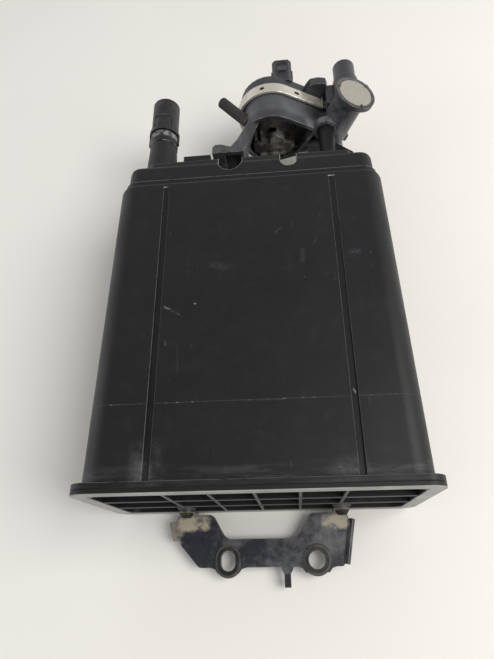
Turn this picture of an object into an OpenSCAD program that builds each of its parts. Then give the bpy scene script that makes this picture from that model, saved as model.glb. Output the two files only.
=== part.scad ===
// Charcoal canister lying on its back: +X right, +Y from the base to the ports, +Z up out of the front face.
// The origin is the middle of the flange's lower edge, in the plane where case and cover are welded.

/* [Base flange] */
// Width of the welded flange
flange_w = 204; // [195:1:215]
// Depth of the welded flange, front to back
flange_d = 103; // [98:1:112]
// Corner radius of the flange
flange_r = 11; // [8:0.5:14]
// Thickness of the flange on the case
case_flange_t = 3.5; // [2.5:0.5:5]
// Thickness of the flange on the cover
cover_flange_t = 3; // [2:0.5:5]
// How far the flange stands out past the case wall
flange_lip = 3.5; // [2.5:0.1:5]

/* [Case] */
// Length of the case from the weld to its shoulder
body_l = 215; // [195:1:240]
// Draft of each side wall over the length of the case
body_draft = 3.2; // [1:0.1:4]
// Corner radius of the case
body_r = 14; // [11:0.5:18]
// Edge radius of the shoulder
shoulder_r = 3; // [2:0.5:4]
// Wall thickness of the case
wall = 2.8; // [2.2:0.1:3.4]
// Thickness of the end wall under the shoulder
end_wall = 6; // [5:0.5:8]
// Distance of each panel groove from the middle
groove_x = 58.7; // [45:0.1:65]
// Width of a panel groove
groove_w = 3.8; // [2.5:0.1:5]
// Depth of a panel groove at the flange
groove_deep = 1.8; // [1:0.1:2]
// Depth of a panel groove at the shoulder
groove_shallow = 0.5; // [0.3:0.1:1]
// Place of the partition between the two beds
partition_x = 18; // [5:1:30]
// Thickness of the partition
partition_t = 2.6; // [2:0.1:4]

/* [Head] */
// Inset of the narrow step on the shoulder
plinth_inset = 2.4; // [1.5:0.1:4]
// Height of the narrow step
plinth_h = 4.2; // [2:0.1:5]
// Further inset of the head block
head_inset = 2.2; // [1.5:0.1:4]
// Height of the head from the shoulder to its ledge
head_h = 21.5; // [18:0.5:26]
// Edge radius of the ledge
head_r = 4.5; // [3:0.5:6]
// Height of the deck that carries the ports, above the ledge
deck_h = 6.5; // [4:0.5:9]
// Width of the ledge beside the deck
ledge_w = 13.5; // [10:0.5:16]
// Width of the ledge in front of and behind the deck
ledge_d = 4.5; // [3.5:0.5:6]
// Place of the wide notch in the head's front edge
wide_notch_x = -14; // [-17:0.5:-11]
// Radius of the wide notch
wide_notch_r = 8.8; // [7:0.1:10]
// Place of the narrow notch in the head's front edge
narrow_notch_x = 29.6; // [26:0.2:33]
// Radius of the narrow notch
narrow_notch_r = 6; // [5:0.5:8]
// How far the notches reach below the ledge
notch_drop = 10; // [8:0.5:11]
// How far the notches reach down from the front face
notch_deep = 22; // [15:1:26]

/* [Base cover] */
// Sunk depth of the cover's tray
tray_depth = 14; // [10:0.5:18]
// Thickness of the tray's floor and walls
tray_t = 2.4; // [1.8:0.1:3]
// Clearance of the tray in the mouth of the case
tray_clear = 0.4; // [0.2:0.05:0.8]
// Thickness of the tray's ribs
rib_t = 1.8; // [1.2:0.1:2.5]
// Pitch of the ribs that run front to back
rib_pitch = 25.3; // [22:0.1:28]
// Number of ribs that run front to back
rib_count = 5; // [3:2:5]
// Number of ribs that run across
cross_rib_count = 2; // [1:1:3]

/* [Bracket] */
// Sheet thickness of the bracket
bracket_t = 2.5; // [1.5:0.1:3]
// Height of the bracket plate above the resting edge
bracket_z = 7; // [5:0.5:9]
// Place of the round hole
round_hole_x = 34.6; // [30:0.2:38]
// Place of the oblong hole
slot_x = -24; // [-28:0.2:-20]
// Distance of both holes from the face of the cover
hole_reach = 31.5; // [28:0.5:35]
// Radius of the round hole
round_hole_r = 5.5; // [4.5:0.1:6]
// Half width of the oblong hole
slot_r = 4.75; // [4:0.05:5.5]
// End to end length of the oblong hole
slot_l = 12.3; // [11.5:0.1:14]
// Width of the raised ring round each hole
ring_w = 4.2; // [3:0.1:5]
// Height of the raised ring
ring_h = 1; // [0.6:0.1:1.5]
// Width of the upturned tabs
tab_w = 10; // [8.5:0.5:12]
// Reach of the flared lips along the sides
lip_reach = 3.5; // [2:0.5:5]
// Height of the tab screws above the resting edge
screw_z = 25; // [22:0.5:27]
// Place of the left tab and its screw
screw_left_x = -50; // [-52:0.5:-46]
// Place of the right tab and its screw
screw_right_x = 52; // [48:0.5:54]
// Shank radius of the tab screws
screw_r = 2.9; // [2.5:0.1:3.2]
// Length of a screw's shank
screw_l = 14; // [10:0.5:15]

/* [Vapour port] */
// Place of the port across the head
port_x = -74; // [-76:0.5:-66]
// Height of the port's axis
port_z = 60; // [50:0.5:66]
// Length of the tapered tower
tower_l = 41; // [36:1:48]
// Radius at the foot of the tower
tower_foot_r = 13.2; // [12:0.1:14]
// Radius at the end of the tower
tower_end_r = 11; // [10:0.1:11.4]
// Length of the worn collar at the end of the tower
collar_l = 9.5; // [7:0.5:12]
// Radius of the worn collar
collar_r = 11.6; // [11.2:0.1:12]
// Radius of the spigot that takes the quick connector
spigot_r = 7.5; // [7.2:0.1:7.7]
// Length of the spigot
spigot_l = 28.2; // [27:0.1:31]
// Radius of the bore through the port
port_bore_r = 5.5; // [4.5:0.1:5.8]
// Outer radius of the quick connector
quick_r = 11.4; // [11.2:0.1:12.2]
// Length of the quick connector
quick_l = 39; // [37.5:0.1:45]
// Radius of the quick connector's open end
quick_bore_r = 7.5; // [7:0.1:8.2]
// Width of the quick connector's window
window_w = 15; // [12:0.1:15.4]
// Length of the quick connector's window
window_l = 12; // [10:0.1:12.5]

/* [Vent valve] */
// Place of the valve's axis across the head
valve_x = 18; // [14:0.5:20]
// Height of the valve's axis
valve_z = 52; // [50:0.5:54]
// Distance from the head to the open mouth of the collar
valve_gap = 50; // [47:0.5:54]
// Length of the collar
collar_y = 26; // [24:0.5:30]
// Radius of the collar
cup_r = 25.5; // [25:0.1:27]
// Wall of the collar
cup_wall = 3; // [2.4:0.1:3.4]
// How far the joint flanges stand out from the collar
joint_lip = 2; // [1.5:0.1:3]
// Thickness of each joint flange
joint_t = 3.5; // [2.5:0.1:4.5]
// Thickness of the flat seal between the flanges
seal_t = 0.5; // [0.3:0.1:0.8]
// Sheet thickness of the steel band
band_t = 1; // [0.6:0.1:1.3]
// Length of the module behind the band
cap_l = 14.5; // [12:0.5:17]
// Edge radius at the back of the module
cap_edge_r = 3; // [2:0.5:3.2]
// Place of the collar's narrow tail across the head
tail_x = 58.5; // [57:0.5:60]
// Height of the narrow tail's axis
tail_z = 47; // [45:0.5:48]
// Radius of the narrow tail
tail_r = 10; // [9.6:0.1:11]
// Place of the locating post across the head
post_x = 63; // [61:0.5:65]
// Height of the locating post's axis
post_z = 57.5; // [56:0.5:59]
// Radius of the locating post
post_r = 6.7; // [6:0.1:7]
// Radius of the ear that holds the post
ear_r = 10.2; // [9.6:0.1:11]
// Depth of the post in the ear
post_grip = 6; // [4:0.5:8]
// Sliding clearance between post, spigot and their sockets
socket_clear = 0.15; // [0.1:0.05:0.3]
// Place of the vent spigot across the head
vent_x = 70; // [69:0.5:72]
// Height of the vent spigot's axis
vent_z = 34; // [31:0.5:35]
// Radius of the vent spigot
vent_r = 6.5; // [6:0.1:7]
// Length of the vent spigot
vent_l = 34; // [30:0.5:38]

/* [Vent tube] */
// Place of the filter disc's middle across the head
disc_x = 86.8; // [84:0.2:88]
// Height of the filter disc's middle
disc_z = 82.9; // [80:0.1:84]
// Lean of the vent tube to the right
tube_lean = 22; // [19:0.5:25]
// Radius of the vent tube
tube_r = 12.6; // [12.2:0.1:13.4]
// Offset of the vent tube's axis from the middle of its rim
tube_off = 1.7; // [0:0.1:2.4]
// Wall of the vent tube
tube_wall = 2.8; // [2.2:0.1:3.4]
// Length of the vent tube
tube_l = 54; // [52:0.5:56]
// Radius of the rim round the filter disc
rim_r = 17; // [16.5:0.1:18]
// Thickness of the filter disc
disc_t = 2.6; // [2:0.1:4]
// Place of the vent pipe across the head
pipe_x = 81.8; // [80.5:0.1:83]
// Height of the vent pipe's axis
pipe_z = 70; // [68:0.5:71]
// Radius of the vent pipe
pipe_r = 9.1; // [8.5:0.1:9.4]
// Length of the vent pipe past its collar
pipe_l = 17.5; // [14:0.5:22]
// Wall of the vent pipe
pipe_wall = 2; // [1.6:0.1:2.6]

/* [Connector] */
// Width of the electrical connector
plug_w = 16.6; // [15:0.2:18]
// Height of the electrical connector
plug_h = 14; // [12.5:0.2:15]
// Length of the electrical connector
plug_l = 21; // [19.5:0.5:26]
// Place of the electrical connector across the head
plug_x = 29; // [27:0.5:30]
// Height of the middle of the electrical connector
plug_z = 68; // [66:0.5:69]
// Wall of the electrical connector
plug_wall = 1.6; // [1.2:0.1:2]
// Depth of the electrical connector's socket
plug_depth = 16; // [14:0.5:17]

/* [Breather hose] */
// Radius of the breather hose
hose_r = 4.7; // [4.4:0.1:5.6]
// Bore radius of the breather hose
hose_bore_r = 3; // [2.6:0.1:3.4]
// Length of the breather hose
hose_l = 30; // [27:0.5:36]
// Angle of the breather hose from the port direction
hose_angle = 40; // [37:0.5:43]
// Height of the breather hose's axis
hose_z = 64; // [62:0.5:65]

/* [Bed] */
// Thickness of each felt filter
felt_t = 4; // [3:0.5:6]
// Thickness of the pressure plates
plate_t = 3; // [2:0.5:4]
// Working length of the plate springs
spring_l = 14; // [10:0.5:18]
// Clearance of the filled layers in the case
fill_clear = 0.4; // [0.2:0.05:0.8]
// Radius of the holes in the pressure plates
plate_hole_r = 2.4; // [1.5:0.1:3]
// Pitch of the holes in the pressure plates
plate_pitch = 9; // [7.5:0.5:14]

/* [Solenoid] */
// Travel of the plunger from open to closed
stroke = 2; // [1.5:0.1:2.2]
// Radius of the coil's spool
spool_r = 15; // [13:0.2:16]
// Length of the coil's spool
spool_l = 17; // [16:0.1:17.4]
// Radius of the plunger's armature
armature_r = 4.4; // [4:0.1:4.8]
// Radius of the plunger's push pin
pin_r = 1.8; // [1.4:0.1:2]
// Radius of the rubber valve seal
valve_seal_r = 7.6; // [7.2:0.1:9]
// Radius of the valve's seat opening
seat_r = 5; // [4:0.1:5.4]

/* [Hidden] */
$fn = 64;

// Small overlap that joins solids of one piece, and the thickness of the slices that a loft runs through
eps = 0.02;
slice = 0.2;
loft_fn = 32;

// Case section
mid_z = flange_d / 2;
body_w = flange_w - 2 * flange_lip;
body_d = flange_d - 2 * flange_lip;
function draft_at(y) = body_draft * y / body_l;
function cavity_w(y) = body_w - 2 * (draft_at(y) + wall);
function cavity_d(y) = body_d - 2 * (draft_at(y) + wall);
cavity_r = body_r - wall;
front_z = mid_z + body_d / 2;
ceiling_y = body_l - end_wall;

// Head
head_end = body_l + head_h;
head_draft = 0.5;
deck_end = head_end + deck_h;
plinth_w = body_w - 2 * (body_draft + plinth_inset);
plinth_d = body_d - 2 * (body_draft + plinth_inset);
head_w = plinth_w - 2 * head_inset;
head_d = plinth_d - 2 * head_inset;
head_corner_r = max(body_r - plinth_inset - head_inset, head_r + 1);
head_front_z = mid_z + head_d / 2;
plenum_wall = 4;
plenum_end = head_end - notch_drop - plenum_wall;
deck_w = head_w - 2 * ledge_w;
deck_d = head_d - 2 * ledge_d;
deck_r = 6;
deck_edge_r = 2;
foot_sink = 3;
foot_gap = 0.05;
foot_y = head_end - 1;
felt_rib_t = 2;
pad_x = -51;
pad_w = 21;
pad_h = 9;
pad_z = 62;
pad_d = 20;

// Layers of the fill, from the cover to the head
cover_face = -cover_flange_t;
tray_floor = tray_depth + tray_t;
plate_y = tray_floor + spring_l;
bottom_felt_y = plate_y + plate_t;
bed_y = bottom_felt_y + felt_t;
top_felt_y = ceiling_y - felt_t;
partition_y = plate_y - 4;
spring_wire_r = 0.9;
spring_coil_r = 9;
main_mid_x = (partition_x - body_w / 2) / 2;
main_spring_off = 24;
vent_mid_x = (partition_x + body_w / 2) / 2;

// Vapour port
tower_end = deck_end + tower_l;
quick_gap = 0.4;
quick_y = tower_end + collar_l + quick_gap;
quick_end = quick_y + quick_l;
spigot_end = tower_end + collar_l + spigot_l;
spigot_clear = 0.15;
window_y = quick_y + 6.5;
latch_r = spigot_r + 1.6;
bead_r = spigot_r + 1.3;
bead_y = window_y + 4;
bead_l = 2;
ring_wire_r = 1.05;
ring_mid_r = spigot_r + 0.05 + ring_wire_r;
gland_r = ring_mid_r + ring_wire_r + 0.05;
gland_y = window_y + window_l + 1.2;
spacer_l = 1.5;
ring_step = 0.05;
front_ring_y = gland_y + ring_step + ring_wire_r;
spacer_y = front_ring_y + ring_wire_r + ring_step;
rear_ring_y = spacer_y + spacer_l + ring_step + ring_wire_r;
gland_end = rear_ring_y + ring_wire_r + ring_step;

// Vent valve
mouth_y = deck_end + valve_gap;
joint_y = mouth_y + collar_y;
seal_y = joint_y + joint_t;
module_y = seal_y + seal_t;
cap_y = module_y + joint_t;
cap_end = cap_y + cap_l;
cup_bore_r = cup_r - cup_wall;
core_throat_r = cup_bore_r - 2;
cap_grow = 0.7;
cap_draft = 0.3;
throat_turn = -33.6;
throat_lip = 2.9;
throat_wall = 2.5;
throat_end = mouth_y + 10;
ear_l = 6;
band_gap = 0.1;
band_in = joint_lip + band_gap;
band_y = joint_y - band_gap - band_t;
band_end = cap_y + band_gap + band_t;
core_y = mouth_y + 12;
core_t = 4;
core_back = core_y + core_t;
core_clear = 0.3;
seat_lip = 1.4;
nose_y = core_back + 0.1;
nose_r = cup_bore_r - core_clear;
nose_in_r = nose_r - 2.7;
spool_y = nose_y + 8;
spool_end = spool_y + spool_l;
post_end = mouth_y + post_grip;
vent_end = deck_end + vent_l;
vent_socket_y = vent_end - 18;
vent_boss_r = vent_r + 3;
vent_bore_r = vent_r - 2.5;
vent_groove_y = vent_end - 9;
vent_ring_wire = 0.75;
vent_groove_half = 1.1;
duct_z = vent_z + 2;
duct_y = mouth_y + 6.5;
duct_r = 3.6;
duct_wall = 2;
gusset_t = 4;
gusset_half = 20;
gusset_low = 23;
gusset_high = 35;
arm_x = -30.5;
arm_w = 25;
arm_t = 9;
arm_y = deck_end + 20;
arm_low = 44;
arm_top = 72;
arm_plate = 3.5;
arm_leg = 10;

// Vent tube
tube_y = mouth_y + 12;
tube_bore_r = tube_r - tube_wall;
disc_r = rim_r - 2.7;
disc_sink = 0.2;
disc_clear = 0.2;
tube_bore_l = 18;
side_duct_y = joint_y - 6.5;
side_duct_z = tail_z - 1;
side_duct_r = 3.6;
tail_y = side_duct_y - side_duct_r - 2.5;
pipe_collar_y = tube_y + tube_r;
pipe_collar_l = 15.5;
pipe_collar_r = pipe_r + 1.3;
pipe_end = pipe_collar_y + pipe_collar_l + pipe_l;

// Solenoid, from the seat backwards
seat_face = core_back + seat_lip;
valve_face = seat_face + stroke + 0.1;
valve_seal_t = 1.7;
carrier_t = 1.4;
carrier_r = 6;
carrier_y = valve_face + valve_seal_t;
spool_flange_t = 1.5;
spool_bore_r = armature_r + 0.3;
spool_hub_r = spool_bore_r + 1.5;
pole_r = spool_bore_r - 0.1;
pole_l = 7;
pole_end = spool_y + pole_l;
spring_seat_r = pin_r + 1.8;
spring_seat_deep = 4;
valve_wire_r = 0.35;
valve_coil_r = spring_seat_r - valve_wire_r - 0.2;
armature_y = pole_end + stroke + 0.5;
armature_end = spool_end - 0.3;
spool_gap = 0.2;
cavity_end = spool_end + spool_gap;

// Bracket
hole_y = cover_face - hole_reach;
plate_top = bracket_z + bracket_t;
ear_y = cover_face - bracket_t;
bracket_left = screw_left_x - 11;
bracket_right = screw_right_x + 6;
leg_w = 26.5;
left_step = 3.5;
left_drop = 18;
left_foot = 17.5;
right_step = 6;
sweep_r = 14;
foot_r = 1.5;
waist_r = 8;
waist_run = 9;
ring_inset = 0.7;
leg_r = 4;
leg_top = cover_face - 2.3;
waist_y = cover_face - 18;
plate_end = hole_y - 4;
peg_x = round_hole_x - 21.8;
peg_w = 4.2;
peg_foot = 4.4;
peg_neck = 4.5;
peg_end = plate_end - 9.7;
boss_r = screw_r + 3.2;
screw_clear = 0.1;
screw_head_r = 4.6;
screw_head_t = 3;

// An outline in X and Z, carried along Y
module along_y(y0, y1) {
    translate([0, y1, 0]) rotate([90, 0, 0]) linear_extrude(y1 - y0) children();
}

// A round rod or cone along Y
module rod_y(x, z, y0, y1, r0, r1 = -1) {
    translate([x, y0, z]) rotate([-90, 0, 0]) cylinder(h = y1 - y0, r1 = r0, r2 = r1 < 0 ? r0 : r1);
}

// A ring along Y
module ring_y(x, z, y0, y1, r_out, r_in) {
    translate([x, y0, z]) rotate([-90, 0, 0]) linear_extrude(y1 - y0) difference() {
        circle(r_out);
        circle(r_in);
    }
}

// An O-ring round an axis along Y
module o_ring_y(x, z, y, mid_r, wire_r) {
    translate([x, y, z]) rotate([-90, 0, 0]) rotate_extrude() translate([mid_r, 0]) circle(wire_r, $fn = 24);
}

// A rectangle with round corners round the middle of the case
module round_rect(w, d, r) {
    translate([0, mid_z]) {
        square([w - 2 * r, d], center = true);
        square([w, d - 2 * r], center = true);
        for (sx = [-1, 1], sz = [-1, 1]) {
            translate([sx * (w / 2 - r), sz * (d / 2 - r)]) circle(r);
        }
    }
}

// A thin slice of a loft along Y
module loft_slice(y, w, d, r) {
    along_y(y - slice, y) round_rect(w, d, r, $fn = loft_fn);
}

// A block that narrows by the draft and ends in a rounded edge
module edged_block(y0, y1, w0, d0, w1, d1, r, edge_r) {
    hull() {
        loft_slice(y0 + slice, w0, d0, r);
        for (a = [0 : 30 : 90]) {
            inset = edge_r * (1 - cos(a));
            loft_slice(y1 - edge_r * (1 - sin(a)), w1 - 2 * inset, d1 - 2 * inset, r - inset);
        }
    }
}

// The hollow of the case between two heights, taken in by a clearance
module cavity(y0, y1, gap = 0) {
    hull() {
        loft_slice(y0 + slice, cavity_w(y0) - 2 * gap, cavity_d(y0) - 2 * gap, cavity_r - gap);
        loft_slice(y1, cavity_w(y1) - 2 * gap, cavity_d(y1) - 2 * gap, cavity_r - gap);
    }
}

// The half plane of one side of the partition: -1 is the main bed, 1 the vent bed
module bed_side(side, gap = 0) {
    edge = partition_x + side * (partition_t / 2 + gap);
    translate([side < 0 ? edge - body_w : edge, 0]) square([body_w, flange_d]);
}

// The hollow of one bed
module bed_room(side, y0, y1, gap = 0) {
    intersection() {
        cavity(y0, y1, gap);
        along_y(y0 - 1, y1 + 1) bed_side(side, gap);
    }
}

// The outline of a layer in one bed
module layer_outline(side, y) {
    intersection() {
        round_rect(cavity_w(y) - 2 * fill_clear, cavity_d(y) - 2 * fill_clear, cavity_r - fill_clear);
        bed_side(side, fill_clear);
    }
}

// A coil of round wire along Y: the wire's section is carried round a helix
module coil_y(x, z, y0, y1, coil_r, wire_r, turns, sides = 8, steps = 14) {
    n = turns * steps;
    rise = y1 - y0 - 2 * wire_r;
    points = [
        for (i = [0 : n], k = [0 : sides - 1])
            let (a = 360 * i / steps, b = 360 * k / sides, r = coil_r + wire_r * cos(b))
            [r * cos(a), r * sin(a), wire_r + rise * i / n + wire_r * sin(b)]
    ];
    sides_faces = [
        for (i = [0 : n - 1], k = [0 : sides - 1])
            let (a = i * sides + k, b = i * sides + (k + 1) % sides)
            each [[a, b, b + sides], [a, b + sides, a + sides]]
    ];
    first = [for (k = [0 : sides - 1]) sides - 1 - k];
    last = [for (k = [0 : sides - 1]) n * sides + k];
    translate([x, y0, z]) rotate([-90, 0, 0]) polyhedron(points, concat(sides_faces, [first, last]));
}

// The outline shared by collar, joint and cap: circles round the valve and the tail, and the web between
// their tangents, sunk a little so that line and circle cross cleanly
tangent_sink = 0.03;
tail_dx = tail_x - valve_x;
tail_dz = tail_z - valve_z;
tail_turn = atan2(tail_dz, tail_dx);
tangent_turn = acos((cup_r - tail_r) / norm([tail_dx, tail_dz]));
function on_circle(x, z, r, a) = [x + r * cos(a), z + r * sin(a)];
module valve_circles(grow = 0) {
    translate([valve_x, valve_z]) circle(cup_r + grow);
    translate([tail_x, tail_z]) circle(tail_r + grow);
}
module valve_web(grow = 0) {
    side = grow - tangent_sink;
    polygon([
        on_circle(valve_x, valve_z, cup_r + side, tail_turn + tangent_turn),
        on_circle(tail_x, tail_z, tail_r + side, tail_turn + tangent_turn),
        on_circle(tail_x, tail_z, tail_r + side, tail_turn - tangent_turn),
        on_circle(valve_x, valve_z, cup_r + side, tail_turn - tangent_turn)
    ]);
}
module valve_outline(grow = 0) {
    valve_circles(grow);
    valve_web(grow);
}

// The side of the throat's straight wall that faces the valve's axis
module throat_side(inset = 0) {
    reach = 2 * cup_r;
    translate([valve_x, valve_z]) rotate(throat_turn) translate([-reach, -reach])
        square([reach + cup_r + throat_lip - inset, 2 * reach]);
}

// Moves its children to the vent tube's axis, with the filter disc at zero and the tube below it
module on_tube() {
    translate([disc_x, tube_y, disc_z]) rotate([0, tube_lean, 0]) children();
}

// A groove along the front or the back face, deeper at the flange
module panel_groove(x, face) {
    end_y = body_l - shoulder_r - 2;
    depth = [groove_deep, groove_shallow + draft_at(end_y)];
    translate([x - groove_w / 2, 0, mid_z]) mirror([0, 0, face]) rotate([90, 0, 90]) linear_extrude(groove_w)
        polygon([
            [case_flange_t, body_d / 2 - depth[0]],
            [end_y, body_d / 2 - depth[1]],
            [end_y, body_d / 2 + 1],
            [case_flange_t, body_d / 2 + 1]
        ]);
}

// A notch with a round bottom in the head's front edge
module head_notch(x, r) {
    translate([x, head_end - notch_drop + r, head_front_z - notch_deep]) {
        cylinder(h = notch_deep + 1, r = r);
        translate([-r, 0, 0]) cube([2 * r, notch_drop + deck_h, notch_deep + 1]);
    }
}

// A rod on the axis of the duct from the vent spigot's socket to the inlet core
module cross_duct(r, x0) {
    translate([x0, duct_y, duct_z]) rotate([0, 90, 0]) cylinder(h = vent_x - x0, r = r);
}

// The duct from the valve's chamber to the vent tube
module side_duct() {
    start = valve_x + spool_r;
    end = disc_x - (disc_z - side_duct_z) * tan(tube_lean) - tube_off;
    translate([start, side_duct_y, side_duct_z]) rotate([0, 90, 0])
        cylinder(h = end - start, r = side_duct_r);
}

// The pockets in the head that the port's tower, the post with its gussets and the vent spigot stand in
module foot_pockets() {
    rod_y(port_x, port_z, foot_y, deck_end + 1, tower_foot_r + foot_gap);
    rod_y(post_x, post_z, deck_end - foot_sink, deck_end + 1, post_r + foot_gap);
    rod_y(vent_x, vent_z, deck_end - foot_sink, deck_end + 1, vent_r + foot_gap);
    translate([post_x - gusset_half - foot_gap, foot_y, post_z - gusset_t / 2 - foot_gap])
        cube([2 * (gusset_half + foot_gap), deck_end + 1 - foot_y, gusset_t + 2 * foot_gap]);
}

module case() {
    color("#2c2c2f") {
        difference() {
            union() {
                along_y(0, case_flange_t) round_rect(flange_w, flange_d, flange_r);
                edged_block(
                    0, body_l, body_w, body_d,
                    body_w - 2 * body_draft, body_d - 2 * body_draft, body_r, shoulder_r
                );
                along_y(body_l - 1, body_l + plinth_h) round_rect(plinth_w, plinth_d, body_r - plinth_inset);
                edged_block(
                    body_l - 1, head_end, head_w + 2 * head_draft, head_d + 2 * head_draft,
                    head_w, head_d, head_corner_r, head_r
                );
                edged_block(
                    head_end - 1, deck_end, deck_w + 2 * head_draft, deck_d + 2 * head_draft,
                    deck_w, deck_d, deck_r, deck_edge_r
                );
                translate([pad_x, deck_end - 1, pad_z]) cube([pad_w, pad_h + 1, pad_d]);
            }
            cavity(-1, partition_y);
            bed_room(-1, partition_y - eps, ceiling_y);
            bed_room(1, partition_y - eps, ceiling_y);
            for (side = [-1, 1]) {
                along_y(ceiling_y - eps, plenum_end) difference() {
                    intersection() {
                        round_rect(head_w - 4 * wall, head_d - 4 * wall, head_corner_r);
                        bed_side(side, wall);
                    }
                    translate([(side < 0 ? port_x : vent_x) - felt_rib_t / 2, 0])
                        square([felt_rib_t, flange_d]);
                }
            }
            for (x = [-groove_x, groove_x], face = [0, 1]) {
                panel_groove(x, face);
            }
            head_notch(wide_notch_x, wide_notch_r);
            head_notch(narrow_notch_x, narrow_notch_r);
            rod_y(port_x, port_z, plenum_end - 1, deck_end + 1, port_bore_r);
            rod_y(vent_x, vent_z, plenum_end - 1, deck_end + 1, vent_bore_r);
            foot_pockets();
        }
    }
}

// The tapered tower with its collar, and the beaded spigot that the quick connector locks on
module port_tower() {
    color("#2c2c2f") difference() {
        union() {
            rod_y(port_x, port_z, foot_y, deck_end, tower_foot_r);
            rod_y(port_x, port_z, deck_end - eps, tower_end, tower_foot_r, tower_end_r);
            rod_y(port_x, port_z, tower_end - 1, tower_end + collar_l, collar_r);
            rod_y(port_x, port_z, tower_end, spigot_end, spigot_r);
            rod_y(port_x, port_z, bead_y, bead_y + bead_l, bead_r);
        }
        rod_y(port_x, port_z, foot_y - 1, spigot_end + 1, port_bore_r);
    }
}

// The post that the valve's ear sits on, with a gusset on each side
module locating_post() {
    tip_l = 1;
    tip_gap = 0.2;
    color("#2c2c2f") {
        rod_y(post_x, post_z, deck_end - foot_sink, post_end - tip_gap - tip_l, post_r);
        rod_y(post_x, post_z, post_end - tip_gap - tip_l - eps, post_end - tip_gap, post_r, post_r - tip_l);
        translate([post_x, 0, post_z - gusset_t / 2]) linear_extrude(gusset_t) polygon([
            [-gusset_half, foot_y], [-gusset_half, deck_end + gusset_low],
            [1 - post_r, deck_end + gusset_high],
            [post_r - 1, deck_end + gusset_high], [gusset_half, deck_end + gusset_low], [gusset_half, foot_y]
        ]);
    }
}

// The spigot that leads the vent bed's air into the valve, with the groove of its O-ring
module vent_spigot() {
    color("#2c2c2f") difference() {
        rod_y(vent_x, vent_z, deck_end - foot_sink, vent_end, vent_r);
        rod_y(vent_x, vent_z, foot_y, vent_end + 1, vent_bore_r);
        ring_y(
            vent_x, vent_z, vent_groove_y - vent_groove_half, vent_groove_y + vent_groove_half,
            vent_r + 1, vent_r - 2 * vent_ring_wire + 0.1
        );
    }
}

module base_cover() {
    plug_w = cavity_w(tray_floor) - 2 * tray_clear;
    plug_d = cavity_d(tray_floor) - 2 * tray_clear;
    plug_r = cavity_r - tray_clear;
    tray_w = plug_w - 2 * tray_t;
    tray_d = plug_d - 2 * tray_t;
    color("#323236") difference() {
        union() {
            difference() {
                union() {
                    along_y(cover_face, 0) round_rect(flange_w, flange_d, flange_r);
                    along_y(-eps, tray_floor) round_rect(plug_w, plug_d, plug_r);
                }
                along_y(cover_face - 1, tray_depth) round_rect(tray_w, tray_d, plug_r - tray_t);
            }
            intersection() {
                along_y(cover_face, tray_floor) round_rect(plug_w, plug_d, plug_r);
                union() {
                    for (i = [0 : rib_count - 1]) {
                        x = (i - (rib_count - 1) / 2) * rib_pitch;
                        translate([x - rib_t / 2, cover_face, 0])
                            cube([rib_t, tray_floor + cover_flange_t, flange_d]);
                    }
                    for (i = [1 : cross_rib_count]) {
                        z = mid_z - tray_d / 2 + tray_d * i / (cross_rib_count + 1);
                        translate([-flange_w / 2, cover_face, z - rib_t / 2])
                            cube([flange_w, tray_floor + cover_flange_t, rib_t]);
                    }
                }
            }
            for (x = [screw_left_x, screw_right_x]) {
                rod_y(x, screw_z, cover_face, tray_floor, boss_r);
            }
        }
        for (x = [screw_left_x, screw_right_x]) {
            rod_y(x, screw_z, cover_face - 1, ear_y + screw_l + 1, screw_r + screw_clear);
        }
    }
}

// A corner of an outline as an arc, and an outline whose points each carry a corner radius
function unit(v) = v / norm(v);
function short_turn(a) = a > 180 ? a - 360 : a < -180 ? a + 360 : a;
function corner_arc(a, b, c, r, steps = 6) =
    let (
        u = unit(a - b),
        v = unit(c - b),
        half = acos(u * v) / 2,
        mid = b + unit(u + v) * r / sin(half),
        start = b + u * r / tan(half) - mid,
        end = b + v * r / tan(half) - mid,
        from = atan2(start[1], start[0]),
        turn = short_turn(atan2(end[1], end[0]) - from)
    )
    [for (k = [0 : steps]) mid + r * [cos(from + turn * k / steps), sin(from + turn * k / steps)]];
function flat(p) = [p[0], p[1]];
function rounded(points) =
    let (n = len(points))
    [for (i = [0 : n - 1]) each corner_arc(
        flat(points[(i + n - 1) % n]), flat(points[i]), flat(points[(i + 1) % n]), points[i][2]
    )];

// The flat outline of the bracket plate, seen from above
module bracket_outline() {
    left_in = bracket_left + leg_w;
    right_in = bracket_right - leg_w;
    polygon(rounded([
        [bracket_left, leg_top, leg_r],
        [bracket_left + left_step, leg_top - left_drop, sweep_r],
        [bracket_left + left_foot, plate_end, leg_r],
        [bracket_right - right_step, plate_end, foot_r],
        [bracket_right, leg_top, leg_r],
        [right_in, leg_top, leg_r + 1],
        [right_in - waist_run, waist_y, waist_r],
        [left_in + waist_run, waist_y, waist_r],
        [left_in, leg_top, leg_r + 1]
    ]));
    translate([round_hole_x, hole_y]) circle(round_hole_r + ring_w);
    slot_shape(slot_r + ring_w);
    skirt(round_hole_x, round_hole_r + ring_w);
    skirt(slot_x, slot_r + ring_w);
    translate([peg_x + peg_w / 2, 0]) peg_outline();
}

// The peg on the lower edge, which narrows from its foot to its neck
module peg_outline() {
    half = peg_w / 2;
    root_y = plate_end + 2;
    neck_y = plate_end - peg_neck;
    root_r = 1;
    fillet_r = 2.5;
    neck_r = 1.5;
    tip_r = 0.2;
    polygon(rounded([
        [-peg_foot, root_y, root_r], [-peg_foot, plate_end, fillet_r],
        [-half, neck_y, neck_r], [-half, peg_end, tip_r],
        [half, peg_end, tip_r], [half, neck_y, neck_r],
        [peg_foot, plate_end, fillet_r], [peg_foot, root_y, root_r]
    ]));
}

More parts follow.
